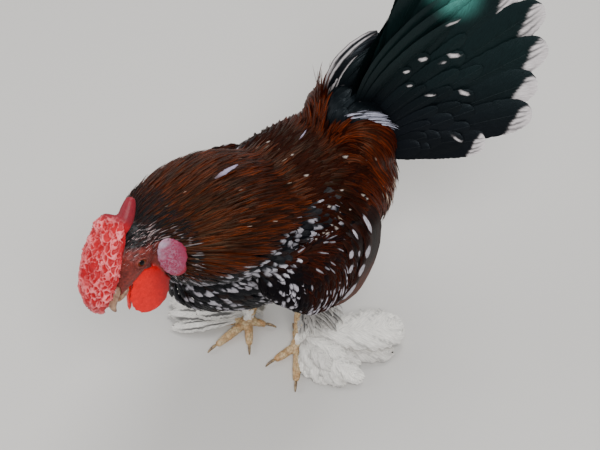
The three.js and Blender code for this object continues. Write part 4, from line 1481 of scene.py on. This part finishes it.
def boot_vane_paint(s, v, dice, places):
    striped = dice[..., 0] < 0.66 * (places[..., 1] > 0)
    bands = np.sin(6 * v + 9 * dice[..., 2] + 2 * s) + 0.5 * np.sin(15 * v + 9 * dice[..., 1])
    stripe = striped * smooth_step(0.25, 0.5, bands) * smooth_step(0.1, 0.3, s)
    # Painted shade greys each vane's edges and its root, where the vanes overlap.
    rim = smooth_step(0.6, 1, np.abs(v)) + smooth_step(0.3, 0, s)
    colour = mixed(BOOT_WHITE, DOWN_GREY, 0.3 * rim + 0.35 * dice[..., 1])
    split = smooth_step(0.8, 0.97, np.sin(24 * s - 8 * np.abs(v) + 9 * dice[..., 3]))
    split *= smooth_step(0.2, 0.5, np.abs(v))
    dark = np.maximum(stripe * smooth_step(1, 0.8, s) * 0.85, 0.45 * split * (dice[..., 2] < 0.6))
    return mixed(colour, FLECK_BLACK, dark)


boot_material = plumage("boot_vane", sweep=0.5, roughness=0.7, gloss=0.2, contrast=0.35, sheen=0.1)
for side_name, side in SIDES.items():
    # The plumes grow out from the shank all round, most of them to its outer side, and fall.
    rng = np.random.default_rng(110 + side)
    count, rows = 620, 9
    up_shank = rng.random(count)
    ahead_share = rng.random(count) < 0.4
    turn = np.radians(np.where(ahead_share, rng.uniform(55, 130, count), rng.uniform(-130, 60, count)))
    ahead = np.interp(up_shank, [0, 0.5, 1], [-2, -13, -30])
    base = np.interp(up_shank, [0, 0.5, 1], [8, 46, 88])
    sideways, backward = np.cos(turn), np.sin(turn)
    length = varied(rng, count, 18, 36)
    s = np.linspace(0, 1, rows)[None, :]
    far = np.where(np.abs(turn + 0.3) < 0.9, 34, 15) * (0.5 + 0.6 * rng.random(count))
    spring = 5 + far[:, None] * (1 - (1 - s) ** 1.6)
    fall = length[:, None] * (0.25 * s + 0.55 * s**2)
    heights = np.maximum(base[:, None] - fall, 3.5 + 2 * rng.random(count)[:, None])
    out = np.maximum(sideways[:, None] * spring, -4) + 5 * rng.random(count)[:, None]
    lines = leg_points(side_name, ahead[:, None] + backward[:, None] * spring * 0.7, out, heights)
    foot = leg_points(side_name, ahead, np.zeros(count), base)[:, None]
    ups = lines - foot + np.array([0, 0, 12])
    ups /= np.linalg.norm(ups, axis=2)[..., None]
    half = varied(rng, count, 2.0, 4.2)[:, None] * spoon(rows, tip=0.15)
    spots = np.column_stack([0.05 + 0.9 * up_shank, 0.05 + 0.9 * (turn - turn.min()) / np.ptp(turn)])
    vanes("boot_plumes_" + side_name, lines, ups, half, boot_paint, boot_material, "white_feather",
          seed=113 + side, ragged=0.6, spots=spots, replaces=["boot_" + side_name])

    # The stiff vanes, the longest over the outer toe.
    angle, length, half, base = np.array(BOOT_VANES[side_name], float).T
    count, rows = len(angle), 40
    s = np.linspace(0, 1, rows)
    reach = 8 + (length * varied(rng, count, 0.95, 1.04))[:, None] * s
    heights = base[:, None] + 4 * np.sin(np.pi * s) - 4 * s**2
    bend = np.radians(angle)[:, None] + 0.16 * s**2
    lines = leg_points(side_name, reach * np.cos(bend), reach * np.sin(bend), np.maximum(heights, 3))
    ups = rolled(lines, np.broadcast_to([0, 0, 1.0], lines.shape), -12 * side)
    half = half[:, None] * spoon(rows, widest=0.72, tip=0.35, root=0.16)
    vanes("boot_vanes_" + side_name, lines, ups, half, boot_vane_paint, boot_material, "white_feather",
          columns=15, arch=0.14, thick=0.5, seed=117 + side, ragged=0.2, frayed=7,
          spots=in_row(0.05 + 0.9 * (np.arange(count) + 0.5) / count), patch=(0.04, 0.9),
          replaces=["toe_fan_" + side_name])


# --- Claws and spurs: horn on the toes and the inner shanks ----------------------------
# Each claw is a curved horn sheath, dusty brown mottled with pale. A young cock's spur
# is a short blunt cone.

def horn_finish(name, dark, pale, size, roughness):
    """Layered horn, mottled between two shades."""
    material, shader, add, links = new_material(name)
    place = add("ShaderNodeTexCoord").outputs["Object"]
    grain = add("ShaderNodeTexNoise", {"Vector": place, "Scale": size, "Detail": 4.0}).outputs["Fac"]
    ramp = add("ShaderNodeValToRGB", {0: grain})
    for stop, at, colour in zip(ramp.color_ramp.elements, (0.32, 0.7), (dark, pale)):
        stop.position, stop.color = at, (*colour, 1)
    bump = add("ShaderNodeBump", {"Height": grain, "Strength": 0.3, "Distance": 0.0003}).outputs[0]
    links.new(ramp.outputs[0], shader.inputs["Base Color"])
    links.new(bump, shader.inputs["Normal"])
    shader.inputs["Roughness"].default_value = roughness
    return material


HORN_SWELL = 0.12


def horn_part(name, node, material):
    """A horn part from its solid, merged and rounded."""
    piece = place_on_scene(name, cad_copy([node], HORN_SWELL), material)
    rounded = piece.modifiers.new("round", "SUBSURF")
    rounded.levels = rounded.render_levels = 2
    piece.data.shade_smooth()
    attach(piece, "root")
    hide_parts(node)


claw_horn = horn_finish("claw_horn", tone(70, 50, 36), tone(176, 150, 112), 420.0, 0.42)
for side_name in SIDES:
    horn_part("spur_horn_" + side_name, "spur_" + side_name, claw_horn)
    for toe in ("inner", "middle", "outer", "hind"):
        horn_part(f"claw_horn_{side_name}_{toe}", f"claw_{side_name}_{toe}", claw_horn)


# --- The eyes and the beak ---------------------------------------------------------------
# Each eye is a wet ball behind the lids, with a round dark pupil in a brown iris. The beak
# is two short horn sheaths.

PUPIL_RADIUS, IRIS_RADIUS = 2.6, 4.2
IRIS_BROWN, IRIS_RIM, PUPIL_BLACK = tone(112, 52, 24), tone(34, 14, 10), tone(4, 3, 3)
for side_name, side in SIDES.items():
    middle = Vector(to_row(head_frame @ Vector((EYE_MIDDLE.x, side * EYE_MIDDLE.y, EYE_MIDDLE.z))))
    axis = head_frame.to_3x3() @ Vector((EYE_AXIS.x, side * EYE_AXIS.y, EYE_AXIS.z))
    ball = bmesh.new()
    bmesh.ops.create_uvsphere(ball, u_segments=48, v_segments=32, radius=EYE_RADIUS * MM)
    bmesh.ops.rotate(ball, verts=ball.verts, matrix=axis.to_track_quat("Z", "Y").to_matrix())
    bmesh.ops.translate(ball, verts=ball.verts, vec=middle)
    eye_mesh = bpy.data.meshes.new("eyeball_" + side_name)
    ball.to_mesh(eye_mesh)
    ball.free()
    eye_mesh.shade_smooth()
    away = (as_array(eye_mesh) - np.array(middle)) / MM
    height = away @ np.array(axis)
    flat = away - height[:, None] * np.array(axis)
    ring = np.where(height > 0, np.linalg.norm(flat, axis=1), EYE_RADIUS)
    colour = mixed(PUPIL_BLACK, IRIS_BROWN, smooth_step(PUPIL_RADIUS - 0.3, PUPIL_RADIUS + 0.2, ring))
    tinted(eye_mesh, mixed(colour, IRIS_RIM, smooth_step(IRIS_RADIUS - 0.6, IRIS_RADIUS + 0.2, ring)))
    eye_material, shader, add, links = new_material("wet_eye_" + side_name)
    colour = add("ShaderNodeVertexColor", layer_name="tint").outputs["Color"]
    links.new(colour, shader.inputs["Base Color"])
    set_finish(shader, {
        "Roughness": 0.1, "Specular IOR Level": 0.15, "Coat Weight": 0.3, "Coat Roughness": 0.02,
    })
    eyeball = place_on_scene("eyeball_" + side_name, eye_mesh, eye_material)
    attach(eyeball, "root")
    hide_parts("eye_" + side_name)

beak_horn = horn_finish("beak_horn", tone(118, 78, 64), tone(178, 142, 112), 300.0, 0.38)
horn_part("beak_upper", "upper_beak", beak_horn)
horn_part("beak_lower", "lower_beak", beak_horn)


# --- Bristles: fine short feathers that stand over the face ------------------------------
# Whitish shafts with little vane, thickest above the eye, along the comb and in front of
# the ear lobe.

BRISTLE_PALE = tone(180, 150, 148)


def bristle_roots(p, owner):
    q = in_head(p)
    above = (q[:, 2] > 8) & (q[:, 0] > -12)
    behind = (q[:, 0] > 9) & (q[:, 2] > -6)
    return belongs(owner, "head") & (above | behind) & (np.abs(q[:, 1]) > 8)


def bristle_paint(s, v, dice, places):
    return mixed(BRISTLE_PALE, NAPE_BLACK, (dice[..., 0] < 0.45) * 0.9)


def bristle_lie(p):
    return Vector((1, 0, 0.25))


tract("bristles", bristle_roots, 2.1, 121, bristle_lie, spear(6, tip=0.2), bristle_paint, nape_material,
      "white_feather", length=(4, 8.5), depth=0.4, rise=(1, 3.2), half=(0.14, 0.3),
      stand=0.6, draws=4000, thick=0.3)
